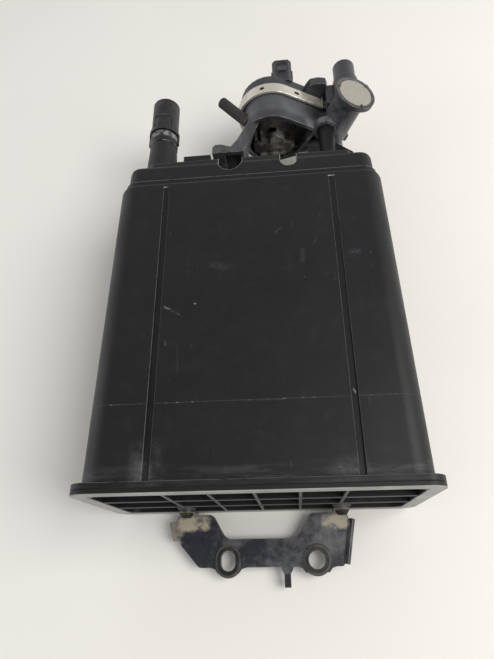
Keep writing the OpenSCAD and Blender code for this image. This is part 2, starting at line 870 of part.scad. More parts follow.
// The sweep from a ring into the lower edge of the plate
module skirt(x, r) {
    drop = 3.5;
    dip = 0.9;
    in = r - 2;
    out = r + 3;
    translate([x, 0]) polygon([
        [-out, plate_end + 1], [-out, plate_end], [-r, plate_end - dip], [-in, plate_end - drop],
        [in, plate_end - drop], [r, plate_end - dip], [out, plate_end], [out, plate_end + 1]
    ]);
}

// Where the lips start and end along their edges, clear of the rounded corners
lip_start = foot_r * unit([right_step, leg_top - leg_r - plate_end]);
lip_end = -2 * unit([left_step, leg_r - left_drop]);

// A lip bent up by 45 degrees along the edge from a to b, with the plate on the left of that way
module side_lip(a, b) {
    run = b - a;
    bend = 45;
    translate([a[0], a[1], bracket_z]) rotate([0, 0, atan2(run[1], run[0])]) rotate([90, 0, 90])
        linear_extrude(norm(run)) polygon([
            [3, 0], [0, 0], [-lip_reach, lip_reach],
            [bracket_t * sin(bend) - lip_reach, bracket_t * cos(bend) + lip_reach],
            [bracket_t * tan(bend / 2), bracket_t], [3, bracket_t]
        ]);
}

// The oblong hole grown to a radius
module slot_shape(r) {
    half = slot_l / 2 - slot_r;
    translate([slot_x, hole_y]) {
        square([2 * r, 2 * half], center = true);
        for (s = [-1, 1]) {
            translate([0, s * half]) circle(r);
        }
    }
}

module mounting_bracket() {
    tab_r = tab_w / 2;
    color("#3b3e46") difference() {
        union() {
            translate([0, 0, bracket_z]) linear_extrude(bracket_t) bracket_outline();
            for (step = [0, 1]) {
                translate([0, 0, plate_top - eps]) linear_extrude(ring_h * (1 + step) / 2 + eps) {
                    translate([round_hole_x, hole_y]) circle(round_hole_r + ring_w - ring_inset * (1 + step));
                    slot_shape(slot_r + ring_w - ring_inset * (1 + step));
                }
            }
            side_lip([bracket_right - right_step, plate_end] + lip_start, [bracket_right, leg_top - leg_r]);
            side_lip([bracket_left, leg_top - leg_r],
                     [bracket_left + left_step, leg_top - left_drop] + lip_end);
            for (x = [screw_left_x, screw_right_x]) {
                translate([x - tab_r, leg_top - 1, bracket_z])
                    cube([tab_w, cover_face - leg_top + 1, bracket_t]);
                along_y(ear_y, cover_face) {
                    translate([x - tab_r, bracket_z]) square([tab_w, screw_z - bracket_z]);
                    translate([x, screw_z]) circle(tab_r);
                }
            }
            translate([peg_x, peg_end, bracket_z]) rotate([0, 90, 0]) cylinder(h = peg_w, r = bracket_t);
        }
        translate([round_hole_x, hole_y, bracket_z - 1])
            cylinder(h = bracket_t + ring_h + 2, r = round_hole_r);
        translate([0, 0, bracket_z - 1]) linear_extrude(bracket_t + ring_h + 2) slot_shape(slot_r);
        for (x = [screw_left_x, screw_right_x]) {
            rod_y(x, screw_z, ear_y - 1, cover_face + 1, screw_r + 0.3);
        }
    }
}

module bracket_screws() {
    rim_t = 1;
    color("#6b6a66") for (x = [screw_left_x, screw_right_x]) {
        rod_y(x, screw_z, ear_y - rim_t, ear_y, screw_head_r);
        rod_y(x, screw_z, ear_y - screw_head_t, ear_y - rim_t + eps, screw_head_r - 1.6, screw_head_r - 0.4);
        rod_y(x, screw_z, ear_y - eps, ear_y + screw_l, screw_r);
    }
}

module quick_connector_body() {
    color("#343437") difference() {
        union() {
            rod_y(port_x, port_z, quick_y, quick_end - 2, quick_r);
            rod_y(port_x, port_z, quick_end - 2 - eps, quick_end, quick_r, quick_r - 1.6);
        }
        rod_y(port_x, port_z, quick_y - 1, window_y + window_l, latch_r);
        rod_y(port_x, port_z, quick_y, spigot_end + 0.4, spigot_r + spigot_clear);
        rod_y(port_x, port_z, gland_y, gland_end, gland_r);
        rod_y(port_x, port_z, quick_y, quick_end, port_bore_r);
        rod_y(port_x, port_z, spigot_end + 1.6, quick_end + 1, quick_bore_r);
        translate([port_x - window_w / 2, window_y, port_z]) cube([window_w, window_l, quick_r + 1]);
    }
}

module quick_connector_clip() {
    hug = 0.2;
    strap_t = 1.1;
    strap_r = quick_r + hug;
    leg_l = 12;
    mouth_drop = 5;
    color("#232327") {
        difference() {
            ring_y(port_x, port_z, quick_y + 1.5, quick_y + 5, strap_r + strap_t, strap_r);
            translate([port_x - 2 * quick_r, quick_y, port_z - mouth_drop - 2 * quick_r])
                cube([4 * quick_r, window_y - quick_y, 2 * quick_r]);
        }
        intersection() {
            union() {
                ring_y(port_x, port_z, window_y + hug, window_y + window_l - hug,
                       quick_r - 0.6, latch_r + hug);
                ring_y(port_x, port_z, window_y + hug, bead_y - hug, latch_r + 1, spigot_r + hug);
            }
            translate([port_x - window_w / 2 + hug, window_y, port_z])
                cube([window_w - 2 * hug, window_l, quick_r]);
        }
        translate([port_x - 3, quick_y + 4, port_z + strap_r]) cube([6, window_y - quick_y - 1, strap_t]);
        translate([port_x - 3, window_y + 0.4, port_z + latch_r + 0.6])
            cube([6, 2.6, strap_r + strap_t - latch_r - 0.6]);
        for (s = [-1, 1]) {
            translate([port_x + s * (strap_r + strap_t / 2), quick_y + 5 - leg_l / 2, port_z])
                cube([strap_t, leg_l, 3], center = true);
        }
    }
}

module front_o_ring() {
    color("#1d1d1f") o_ring_y(port_x, port_z, front_ring_y, ring_mid_r, ring_wire_r);
}

module rear_o_ring() {
    color("#1d1d1f") o_ring_y(port_x, port_z, rear_ring_y, ring_mid_r, ring_wire_r);
}

module o_ring_spacer() {
    color("#c9c4b4") ring_y(port_x, port_z, spacer_y, spacer_y + spacer_l, gland_r - 0.1, spigot_r + 0.1);
}

module valve_housing() {
    color("#515155") difference() {
        union() {
            along_y(mouth_y, tail_y + 1) intersection() {
                valve_outline();
                throat_side();
            }
            along_y(tail_y, joint_y + 1) valve_outline();
            along_y(joint_y, seal_y) valve_outline(joint_lip);
            rod_y(post_x, post_z, mouth_y, mouth_y + ear_l, ear_r);
            vent_tube();
            rod_y(pipe_x, pipe_z, tube_y, pipe_end, pipe_r);
            rod_y(pipe_x, pipe_z, tube_y, pipe_collar_y + pipe_collar_l, pipe_collar_r);
            rod_y(vent_x, vent_z, vent_socket_y, tube_y + 4, vent_boss_r);
            cross_duct(duct_r + duct_wall, valve_x + cup_bore_r - 4);
            side_chamber();
            valve_arm();
            breather_spigot(hose_bore_r - 0.1);
        }
        throat();
        rod_y(valve_x, valve_z, mouth_y - 1, core_y + 1, core_throat_r);
        rod_y(valve_x, valve_z, core_y, seal_y + 1, cup_bore_r);
        rod_y(post_x, post_z, tube_y - tube_r - 1, post_end, post_r + socket_clear);
        rod_y(vent_x, vent_z, vent_socket_y - 1, vent_end + 1, vent_r + socket_clear);
        rod_y(vent_x, vent_z, vent_end, duct_y + duct_r, vent_bore_r);
        cross_duct(duct_r, valve_x);
        side_duct();
        vent_tube_bore();
        rod_y(pipe_x, pipe_z, tube_y, pipe_end + 1, pipe_r - pipe_wall);
        breather_spigot(hose_bore_r - 1.2, 4);
    }
}

// The open throat in the mouth of the collar, clear of the ear
module throat() {
    along_y(mouth_y - 1, throat_end) difference() {
        intersection() {
            valve_outline(-cup_wall - 0.3);
            throat_side(throat_wall);
        }
        translate([post_x, post_z]) circle(ear_r);
    }
}

// The leaning vent tube with its flared rim, the clips over the filter disc and a small nub low on the right
module vent_tube() {
    rim_h = 4;
    flare_h = 3;
    nub = [6, 4, 6];
    nub_drop = 47;
    clip = [3.4, 2, 0.8];
    clip_in = 0.4;
    on_tube() {
        translate([-tube_off, 0, -tube_l]) cylinder(h = tube_l, r = tube_r);
        translate([0, 0, -rim_h]) cylinder(h = rim_h, r = rim_r);
        translate([tube_r - tube_off - nub[0] / 2, -nub[1] / 2, -nub_drop]) cube(nub);
        for (a = [-75, 45, 165]) {
            rotate(a) translate([rim_r - clip[0] - clip_in, -clip[1] / 2, -eps]) cube(clip);
        }
        translate([0, 0, -rim_h - flare_h]) cylinder(h = flare_h + eps, r1 = tube_r + tube_off, r2 = rim_r);
    }
}

// The recess of the filter disc, the tube's bore and the channel that comes up from the side duct
module vent_tube_bore() {
    channel_low = tube_l - 4;
    on_tube() {
        translate([0, 0, -disc_t - disc_sink]) cylinder(h = disc_t + disc_sink, r = disc_r + disc_clear);
        translate([-tube_off, 0, -tube_bore_l]) cylinder(h = tube_bore_l, r = tube_bore_r);
        translate([-tube_off, side_duct_y - tube_y, -channel_low])
            cylinder(h = channel_low - tube_bore_l + 2, r = side_duct_r);
    }
}

// The chamber beside the vent pipe, hollowed round the cap, on a web from the vent tube
module side_chamber() {
    chamber_y = band_end + 0.6;
    chamber_l = 8;
    web_y = tube_y + tube_r / 2;
    difference() {
        along_y(chamber_y, chamber_y + chamber_l) translate([tail_x, tail_z]) polygon([
            [-12, 10], [-12, 18.7], [-8.7, 24.3], [-6.2, 27.5], [0.5, 28.3],
            [6.5, 27.2], [8, 23.7], [8.5, 19], [8.5, 10]
        ]);
        along_y(chamber_y - 1, cap_end + 1) valve_outline(cap_grow + 0.6);
    }
    translate([tail_x + 6.5, web_y, tail_z + 13.2]) cube([8.5, chamber_y + chamber_l / 2 - web_y, 9.5]);
}

// The arm from the collar to the head: a bar that sweeps into the collar, with a pocket open to the front
module valve_arm() {
    back = arm_y + arm_t;
    right = arm_x + arm_w;
    nip = 2.3;
    difference() {
        union() {
            translate([0, 0, arm_low]) linear_extrude(arm_top - arm_low) polygon([
                [arm_x, arm_y], [arm_x, back - nip], [arm_x + nip, back], [arm_x + 7, back],
                [right - 10, back - 3], [right - 5, arm_y + 13], [right, mouth_y - 7],
                [valve_x - 16, mouth_y + 3], [valve_x - 8.5, mouth_y + 3],
                [right + 10, mouth_y - 8], [right + 4, arm_y + 8], [right, arm_y]
            ]);
            translate([arm_x, deck_end, arm_low]) cube([arm_leg, arm_t + arm_y - deck_end - nip, arm_leg]);
        }
        translate([arm_x + arm_leg, arm_y - 1, arm_low - 1])
            cube([arm_w - arm_leg - 2, arm_t - arm_plate, arm_top - arm_low - arm_plate + 1]);
        rod_y(valve_x, valve_z, deck_end, core_y, cup_bore_r);
    }
}

// A rod on the breather hose's axis, measured from the collar's wall outwards
module hose_rod(r, y0, y1) {
    root_x = valve_x - sqrt(pow(cup_r, 2) - pow(hose_z - valve_z, 2));
    root_y = mouth_y + 12.5;
    translate([root_x, root_y, hose_z]) rotate([0, 0, hose_angle]) rotate([-90, 0, 0])
        translate([0, 0, y0]) cylinder(h = y1 - y0, r = r);
}

// The spigot under the breather hose
module breather_spigot(r, run_out = 0) {
    hose_rod(r, -5 - run_out, 14 + run_out);
}

module breather_hose() {
    seat_gap = 0.3;
    color("#5d5850") difference() {
        hose_rod(hose_r, -hose_r, hose_l);
        hose_rod(hose_bore_r, -2 * hose_r, hose_l + 1);
        along_y(mouth_y - 10, joint_y) valve_outline(seat_gap);
        along_y(joint_y - 2, band_end + 2) valve_outline(band_in + band_t + seat_gap);
    }
}

module valve_module() {
    color("#46474c") difference() {
        union() {
            rod_y(valve_x, valve_z, nose_y, cap_y - 1, nose_r);
            along_y(module_y, cap_y) valve_outline(joint_lip);
            hull() {
                along_y(cap_y - 1, cap_y - 1 + slice) valve_circles(cap_grow + cap_draft, $fn = loft_fn);
                for (a = [0 : 30 : 90]) {
                    y = cap_end - cap_edge_r * (1 - sin(a));
                    along_y(y - slice, y) valve_circles(cap_grow - cap_edge_r * (1 - cos(a)), $fn = loft_fn);
                }
            }
            connector_shell();
        }
        rod_y(valve_x, valve_z, nose_y - 1, spool_y - spool_gap, nose_in_r);
        rod_y(valve_x, valve_z, spool_y - 1, cavity_end, spool_r + spool_gap);
        side_duct();
        connector_socket();
    }
}

// The outer form of the electrical connector: chamfered above, with a collar, a lock ramp and grip ridges
module connector_shell() {
    shell_y = cap_end - 4;
    plug_end = cap_end + plug_l;
    chamfer = 2.6;
    half_w = plug_w / 2;
    half_h = plug_h / 2;
    top = plug_z + half_h - eps;
    collar = [plug_w + 2, 5, plug_h - 5];
    lock_w = 7;
    lock_h = 2;
    lock_y = cap_end + 6;
    grip = [8, 1.2, 0.8];
    along_y(shell_y, plug_end) translate([plug_x, plug_z]) polygon([
        [-half_w, -half_h], [half_w, -half_h], [half_w, half_h - chamfer], [half_w - chamfer, half_h],
        [chamfer - half_w, half_h], [-half_w, half_h - chamfer]
    ]);
    translate([plug_x - collar[0] / 2, cap_end + 5, plug_z - half_h + 2]) cube(collar);
    translate([plug_x - lock_w / 2, lock_y, top]) rotate([90, 0, 90]) linear_extrude(lock_w)
        polygon([[0, 0], [0, lock_h], [3, lock_h], [lock_w, 0]]);
    for (y = [plug_end - 5, plug_end - 2.2]) {
        translate([plug_x - grip[0] / 2, y, top]) cube(grip);
    }
}

module connector_socket() {
    translate([plug_x - plug_w / 2 + plug_wall, cap_end + plug_l - plug_depth,
               plug_z - plug_h / 2 + plug_wall])
        cube([plug_w - 2 * plug_wall, plug_depth + 1, plug_h - 2 * plug_wall]);
}

module connector_terminals() {
    pitch = 4.2;
    blade = [2.2, 11, 0.8];
    color("#b9a26a") for (i = [-1 : 1]) {
        translate([plug_x + i * pitch - blade[0] / 2, cap_end + plug_l - plug_depth, plug_z - blade[2] / 2])
            cube(blade);
    }
}

module module_seal() {
    inset = joint_lip - 0.5;
    color("#1e1e20") difference() {
        union() {
            rod_y(valve_x, valve_z, seal_y, module_y, cup_r + inset);
            rod_y(tail_x, tail_z, seal_y, module_y, tail_r + inset);
            along_y(seal_y, module_y) valve_web(inset);
        }
        rod_y(valve_x, valve_z, seal_y - 1, module_y + 1, nose_r + core_clear);
    }
}

module retaining_band() {
    span = band_end - band_y + 2;
    reach = 2 * cup_r + tail_dx;
    slot = [3, 2];
    slot_off = [-8, 21];
    end_x = tail_x + 4;
    hook_h = 3.6;
    gap_off = 5;
    color("#b5b0a6") difference() {
        union() {
            along_y(band_y, band_end) difference() {
                valve_outline(band_in + band_t);
                valve_outline(band_in);
            }
            for (y = [band_y, band_end - band_t]) {
                along_y(y, y + band_t) difference() {
                    valve_outline(band_in + eps);
                    valve_outline(cap_grow + 0.3);
                }
            }
            translate([end_x - band_t, band_y + 1, tail_z + tail_r + band_in])
                cube([band_t, band_end - band_y - 2, hook_h]);
        }
        translate([end_x, band_y - 1, valve_z - reach]) cube([reach, span, 2 * reach]);
        translate([valve_x - gap_off, band_y - 1, tail_z - reach]) cube([reach, span, reach]);
        for (off = slot_off) {
            translate([valve_x + off, (band_y + band_end - slot[1]) / 2, valve_z])
                cube([slot[0], slot[1], reach]);
        }
    }
}

module inlet_core() {
    block_w = 16;
    block_gap = 5;
    stub_r = 6.5;
    color("#6a635a") difference() {
        union() {
            rod_y(valve_x, valve_z, core_y + 0.1, core_back, cup_bore_r - core_clear);
            rod_y(valve_x, valve_z, core_y - 3, core_y + 1, core_throat_r - core_clear);
            rod_y(valve_x, valve_z, core_back - 1, seat_face, seat_r + 2);
            intersection() {
                rod_y(valve_x, valve_z, mouth_y, core_y, core_throat_r - core_clear);
                translate([valve_x - block_w, mouth_y + 1, valve_z - cup_r])
                    cube([2 * block_w, core_y, cup_r - block_gap]);
            }
            intersection() {
                cross_duct(duct_r + duct_wall, valve_x);
                rod_y(valve_x, valve_z, mouth_y, throat_end - core_clear, cup_bore_r - 2 * core_clear);
            }
            rod_y(valve_x + 4, valve_z - 3, mouth_y - 1, core_y, stub_r);
            translate([valve_x - 11, mouth_y - 1.5, valve_z - 17]) cube([22, 8, 2.5]);
            for (x = [-15, -10]) {
                translate([valve_x + x, mouth_y + 3, valve_z - 8]) cube([2, core_y - mouth_y - 3, 14]);
            }
        }
        rod_y(valve_x, valve_z, duct_y, seat_face + 1, seat_r);
        hull() {
            rod_y(valve_x, valve_z, duct_y, duct_y + 1, duct_r - 1, $fn = loft_fn);
            rod_y(valve_x, duct_z, duct_y, duct_y + 1, duct_r - 1, $fn = loft_fn);
        }
        cross_duct(duct_r, valve_x);
    }
}

module filter_disc() {
    color("#b8b6a8") on_tube() translate([0, 0, -disc_t - disc_sink]) cylinder(h = disc_t, r = disc_r);
}

module spigot_o_ring() {
    color("#1d1d1f") o_ring_y(vent_x, vent_z, vent_groove_y, vent_r - vent_ring_wire + 0.12, vent_ring_wire);
}

module coil_bobbin() {
    color("#d8d2c0") difference() {
        union() {
            rod_y(valve_x, valve_z, spool_y, spool_y + spool_flange_t, spool_r);
            rod_y(valve_x, valve_z, spool_end - spool_flange_t, spool_end, spool_r);
            rod_y(valve_x, valve_z, spool_y, spool_end, spool_hub_r);
        }
        rod_y(valve_x, valve_z, spool_y - 1, spool_end + 1, spool_bore_r);
    }
}

module coil_winding() {
    color("#a5622f") ring_y(
        valve_x, valve_z, spool_y + spool_flange_t + 0.1, spool_end - spool_flange_t - 0.1,
        spool_r - 1.2, spool_hub_r + 0.1
    );
}

module pole_piece() {
    color("#9a9da1") difference() {
        rod_y(valve_x, valve_z, spool_y, pole_end, pole_r);
        rod_y(valve_x, valve_z, spool_y - 1, pole_end + 1, pin_r + 0.25);
        rod_y(valve_x, valve_z, pole_end - spring_seat_deep, pole_end + 1, spring_seat_r);
    }
}

module valve_plunger() {
    color("#8d9095") {
        rod_y(valve_x, valve_z, carrier_y, carrier_y + carrier_t, carrier_r);
        rod_y(valve_x, valve_z, carrier_y, armature_y + 1, pin_r);
        rod_y(valve_x, valve_z, armature_y, armature_end, armature_r);
    }
}

module valve_seal() {
    color("#27272a") rod_y(valve_x, valve_z, valve_face, carrier_y, valve_seal_r);
}

module valve_spring() {
    color("#aeb1b5") coil_y(
        valve_x, valve_z, pole_end - spring_seat_deep + 0.05, armature_y - 0.05, valve_coil_r, valve_wire_r, 4
    );
}

module carbon_bed_main() {
    color("#18181a") bed_room(-1, bed_y, top_felt_y, fill_clear);
}

module carbon_bed_vent() {
    color("#18181a") bed_room(1, bed_y, top_felt_y, fill_clear);
}

module felt(side, y) {
    color("#d9d6cc") along_y(y, y + felt_t) layer_outline(side, y + felt_t);
}

module top_filter_main() {
    felt(-1, top_felt_y);
}

module top_filter_vent() {
    felt(1, top_felt_y);
}

module bottom_filter_main() {
    felt(-1, bottom_felt_y);
}

module bottom_filter_vent() {
    felt(1, bottom_felt_y);
}

// A plate with a square pattern of holes that keeps a plain margin
module pressure_plate(side, mid_x, w) {
    margin = 8;
    across = floor((w - 2 * margin) / plate_pitch);
    deep = floor((cavity_d(plate_y) - 2 * margin) / plate_pitch);
    color("#3d3d41") along_y(plate_y, plate_y + plate_t) difference() {
        layer_outline(side, plate_y + plate_t);
        for (i = [0 : across], k = [0 : deep]) {
            translate([mid_x + (i - across / 2) * plate_pitch, mid_z + (k - deep / 2) * plate_pitch])
                circle(plate_hole_r, $fn = 24);
        }
    }
}

module pressure_plate_main() {
    pressure_plate(-1, main_mid_x, body_w / 2 + partition_x);
}

module pressure_plate_vent() {
    pressure_plate(1, vent_mid_x, body_w / 2 - partition_x);
}

module plate_spring(x) {
    color("#a9abad") coil_y(x, mid_z, tray_floor + 0.05, plate_y - 0.05, spring_coil_r, spring_wire_r, 4);
}

module plate_spring_left() {
    plate_spring(main_mid_x - main_spring_off);
}

module plate_spring_middle() {
    plate_spring(main_mid_x + main_spring_off);
}

module plate_spring_right() {
    plate_spring(vent_mid_x);
}

case();
port_tower();
locating_post();
vent_spigot();
base_cover();
mounting_bracket();
bracket_screws();
quick_connector_body();
quick_connector_clip();
front_o_ring();
rear_o_ring();
o_ring_spacer();
valve_housing();
valve_module();
module_seal();
retaining_band();
inlet_core();
breather_hose();
filter_disc();
connector_terminals();
spigot_o_ring();
coil_bobbin();
coil_winding();
pole_piece();
valve_plunger();
valve_seal();
valve_spring();
carbon_bed_main();
carbon_bed_vent();
top_filter_main();
top_filter_vent();
bottom_filter_main();
bottom_filter_vent();
pressure_plate_main();
pressure_plate_vent();
plate_spring_left();
plate_spring_middle();
plate_spring_right();
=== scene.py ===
"""Looks of a charcoal canister: its moulded, pressed, rubber and felt finishes, and a plain studio stage."""
import math

import bmesh
import bpy
import numpy as np
from mathutils import Matrix, Vector


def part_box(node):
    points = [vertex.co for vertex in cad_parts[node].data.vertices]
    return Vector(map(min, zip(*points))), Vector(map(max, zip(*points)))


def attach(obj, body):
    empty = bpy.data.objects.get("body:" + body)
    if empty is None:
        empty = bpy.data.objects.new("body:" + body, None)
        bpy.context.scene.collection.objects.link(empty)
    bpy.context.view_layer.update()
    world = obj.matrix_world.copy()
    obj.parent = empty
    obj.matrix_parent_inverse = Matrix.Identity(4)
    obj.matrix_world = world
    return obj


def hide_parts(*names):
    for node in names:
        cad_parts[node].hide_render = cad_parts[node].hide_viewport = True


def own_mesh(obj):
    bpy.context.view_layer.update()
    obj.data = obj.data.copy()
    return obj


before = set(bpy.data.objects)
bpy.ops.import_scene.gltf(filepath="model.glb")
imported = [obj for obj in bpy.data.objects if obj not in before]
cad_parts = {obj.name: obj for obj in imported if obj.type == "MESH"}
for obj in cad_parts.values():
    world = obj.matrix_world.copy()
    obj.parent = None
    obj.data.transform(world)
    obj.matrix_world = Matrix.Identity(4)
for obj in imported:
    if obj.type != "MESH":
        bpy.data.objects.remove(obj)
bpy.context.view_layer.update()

bl_info = {
    "name": "Charcoal canister",
    "version": (1, 0, 0),
    "blender": (4, 5, 0),
    "location": "3D View > Sidebar > Canister",
    "description": "Finishes the pieces of a charcoal canister and sets a studio stage round it",
    "category": "Object",
}

MM = 0.001
BODY = "canister"

# Points of a CAD surface closer than this are one point, and faces that turn less than this are one face
JOIN = 0.03 * MM
FLAT_TURN = math.radians(0.3)
# An edge that turns more than the first is softened, and one that turns more than the second is a crease
SHARP_TURN = math.radians(60)
CREASE_TURN = math.radians(34)
# Cosines of the lean of a rounded normal at which rubbing on an edge starts and is full
RUB_START = 0.985
RUB_FULL = 0.8

# Places on the object in millimetres, by axis: x across, y from the base to the ports, z up
# The front of the case, and the upper side of the flange with the painted shade laid on it
FRONT = {"z": (90, 110)}
FLANGE_TOP = {"z": (100.8, 104)}
FLANGE_PAINTED_SHADE = "#050506"
# The inside of the cover's rim
RIM_IN = {"x": (-92.7, 92.7), "z": (9.3, 93.7)}
# Wear and painted highlight on the case's edges: strength, and range along the case
CASE_WEAR_AND_HIGHLIGHT = ((0.16, (9, 206)), (0.25, (1.8, 6)), (1.0, (210, 246)))
# The foot of the valve's leaning tube, its arm and its collar
TUBE_FOOT = {"x": (50, 74), "y": (262, 298)}
VALVE_ARM = {"x": (-34, -4), "y": (250, 298)}
COLLAR = {"y": (304, 318), "z": (66, 104)}
# The line through the middle of the insert in the valve's mouth, paler there with dust and painted light
INLET_DUST_AND_LIGHT = ((18, 284), (20, 300))
# The two slots through the band, the width of the painted shade round them, and the part of it that is full
SLOT_PLACES = ((11.5, 322.75), (40.5, 322.75))
SLOT_SHADE_WIDTH = 3.6
SLOT_SHADE_CORE = 2.6
# The rings round the bracket's holes, the width of the painted shade on them, and the part of it that is full
RING_PLACES = ((34.6, -34.5), (-24.0, -34.5))
RING_SHADE_WIDTH = 19.6
RING_SHADE_CORE = 18.4
# The hazed right side of the bracket, the tip of its peg, and the half that lies by the cover
BRACKET_RIGHT = {"x": (36, 50), "y": (-26, -8)}
PEG_TIP = {"y": (-50, -43.5)}
BRACKET_HEAD = {"y": (-30, 0)}
# Residue on the bracket: strength, and place
RESIDUE_PLACES = (
    (0.85, {"x": (-55, -40), "y": (-12, -9)}),
    (0.85, {"x": (43, 54), "y": (-12, -9)}),
    (0.4, {"x": (-61, -58), "y": (-20, -10)}),
)

# The bead of the weld in millimetres: its radius, how deep its middle lies inside the flange's edge, and the
# waves of its radius as height, count round the flange and start
BEAD_RADIUS = 0.34
BEAD_INSET = 0.46
BEAD_WAVES = ((0.05, 41, 0.0), (0.04, 97, 1.3), (0.03, 163, 0.4))
# Points of the bead along a corner, along a side and round its profile
BEAD_CORNER_STEPS = 12
BEAD_SIDE_STEPS = 90
BEAD_ROUND_STEPS = 8
# The split line: the share of its height that is sunk in the wall, and its points along a corner and across
SPLIT_SUNK = 0.3
SPLIT_CORNER_STEPS = 14
SPLIT_ACROSS_STEPS = 7

# Lamps: place, target and size in metres, and colour
KEY_LAMP = ((0.95, -0.05, 1.25), (0, 0.12, 0.05), 1.0, "#fffdf9")
FILL_LAMP = ((-1.5, 0.2, 0.6), (0, 0.1, 0.04), 1.2, "#f2f6ff")
# The sky's colour, and the height of a ray of length one at which the sky has its overhead strength
SKY_COLOUR = "#f8f8f6"
SKY_TOP = 0.8
# Half the width of the floor in metres
FLOOR_REACH = 6.0
# The sockets of a Mix node that mixes colours: its two inputs and its output
MIX_UNDER, MIX_OVER, MIX_RESULT = 6, 7, 2

# The camera's place in millimetres and its axes, worked out from the outline of the flange and the case
CAMERA_PLACE = (22.286, -41.350, 378.509)
CAMERA_FORWARD = (-0.07768, 0.42925, -0.89984)
CAMERA_RIGHT = (0.99574, -0.01163, -0.09151)
CAMERA_LENS = 27.91
CAMERA_SENSOR = 36.0
CAMERA_NEAR = 0.02

# Marks on the front of the case: start and end across and along it in millimetres, width, strength and colour
FRONT_MARKS = (
    ((-54.2, 111.2), (-51.0, 109.6), 1.9, 0.45, "#a9a8a4"),
    ((-49.6, 108.4), (-44.0, 104.9), 1.3, 0.15, "#a09f9c"),
    ((-34.9, 112.6), (-34.5, 112.6), 1.5, 1.0, "#d6d5d0"),
    ((-52.6, 87.5), (-52.0, 84.5), 1.2, 0.32, "#8f8e8b"),
    ((-44.6, 84.0), (-43.6, 66.0), 1.0, 0.1, "#8c8b88"),
    ((-24.0, 141.0), (-15.0, 138.5), 7.5, 0.13, "#77726a"),
    ((35.2, 149.0), (34.4, 140.0), 5.5, 0.08, "#8a898a"),
    ((44.6, 157.6), (42.8, 152.4), 1.1, 0.14, "#9a999a"),
    ((66.5, 145.2), (70.5, 144.8), 5.5, 0.14, "#8e93a0"),
    ((21.4, 167.2), (17.6, 163.6), 1.3, 0.18, "#98928a"),
    ((19.5, 47.2), (-4.0, 47.6), 1.6, 0.08, "#a09f9c"),
    ((58.4, 52.2), (59.4, 49.8), 1.4, 0.6, "#b5b4b0"),
)


class CanisterSizes(bpy.types.PropertyGroup):
    """Sizes of the finishing details."""

    mould_edge: bpy.props.FloatProperty(
        name="Moulded edge", description="Width of the softened edge of a moulding",
        default=0.35 * MM, unit="LENGTH")
    fine_edge: bpy.props.FloatProperty(
        name="Fine edge", description="Width of the softened edge of pressed steel and of small mouldings",
        default=0.2 * MM, unit="LENGTH")
    flange_lip: bpy.props.FloatProperty(
        name="Flange lip", description="How far the flange stands out past the case wall",
        default=3.5 * MM, unit="LENGTH")
    flange_corner: bpy.props.FloatProperty(
        name="Flange corner", description="Corner radius of the flange", default=16 * MM, unit="LENGTH")
    case_draft: bpy.props.FloatProperty(
        name="Case draft", description="How far a case wall leans in for each unit of length",
        default=3.2 / 215)
    case_corner: bpy.props.FloatProperty(
        name="Case corner", description="Corner radius of the case", default=14 * MM, unit="LENGTH")
    groove_place: bpy.props.FloatProperty(
        name="Groove place", description="Distance of a panel groove from the middle",
        default=58.7 * MM, unit="LENGTH")
    groove_width: bpy.props.FloatProperty(
        name="Groove width", description="Width of a panel groove", default=3.8 * MM, unit="LENGTH")
    split_place: bpy.props.FloatProperty(
        name="Split line place", description="Distance of the mould's split line from the weld",
        default=47.7 * MM, unit="LENGTH")
    split_width: bpy.props.FloatProperty(
        name="Split line width", description="Width of the split line's ridge",
        default=0.5 * MM, unit="LENGTH")
    split_height: bpy.props.FloatProperty(
        name="Split line height", description="Height of the split line's ridge",
        default=0.14 * MM, unit="LENGTH")


class CanisterColours(bpy.types.PropertyGroup):
    """Colours of the finishes, as sRGB hex values."""

    case: bpy.props.StringProperty(
        name="Case", description="Black of the case and cover", default="#111114")
    # Grey of rubbed edges and specks; on the case's edges it also paints their highlight
    case_wear_and_highlight: bpy.props.StringProperty(
        name="Case wear", description="Grey of rubbed edges on the case", default="#98989a")
    haze: bpy.props.StringProperty(
        name="Haze", description="Whitish rub on the case", default="#a3a4a8")
    # Pale grey laid on the rim of the cover's end face
    pale_end_rim: bpy.props.StringProperty(
        name="Scuffed rim", description="Pale grey of the cover's rubbed end face", default="#979793")
    fitting: bpy.props.StringProperty(
        name="Fitting", description="Black of the quick connector", default="#202023")
    valve: bpy.props.StringProperty(
        name="Valve", description="Dark grey of the valve housing", default="#36373b")
    cap: bpy.props.StringProperty(
        name="Valve cap", description="Dark grey of the valve's cap", default="#343539")
    valve_pale: bpy.props.StringProperty(
        name="Valve wear", description="Grey of rubbed edges on the valve", default="#85868a")
    dust: bpy.props.StringProperty(
        name="Dust", description="Brown-grey road dust", default="#8b8478")
    # The inlet's dark ground is partly painted shade of the deep mouth
    inlet: bpy.props.StringProperty(
        name="Inlet", description="Plastic under the dust in the valve's mouth", default="#1f1d1b")
    paint: bpy.props.StringProperty(
        name="Bracket paint", description="Blue-black paint of the bracket", default="#24262d")
    paint_pale: bpy.props.StringProperty(
        name="Bracket haze", description="Grey haze on the bracket's paint", default="#66686c")
    residue: bpy.props.StringProperty(
        name="Residue", description="Tan residue at the bracket's corners", default="#b9ae9a")
    # The band's pale colour shows partly as painted sheen, as the strip is only partly metallic
    band: bpy.props.StringProperty(
        name="Band", description="Warm steel of the retaining band", default="#d8d3c8")
    felt: bpy.props.StringProperty(
        name="Felt", description="Pale felt of the filter disc", default="#a6a399")
    hose: bpy.props.StringProperty(
        name="Hose", description="Aged brown-grey rubber of the breather hose", default="#23211e")
    rubber: bpy.props.StringProperty(
        name="Rubber", description="Black rubber of the seals", default="#1c1c1e")


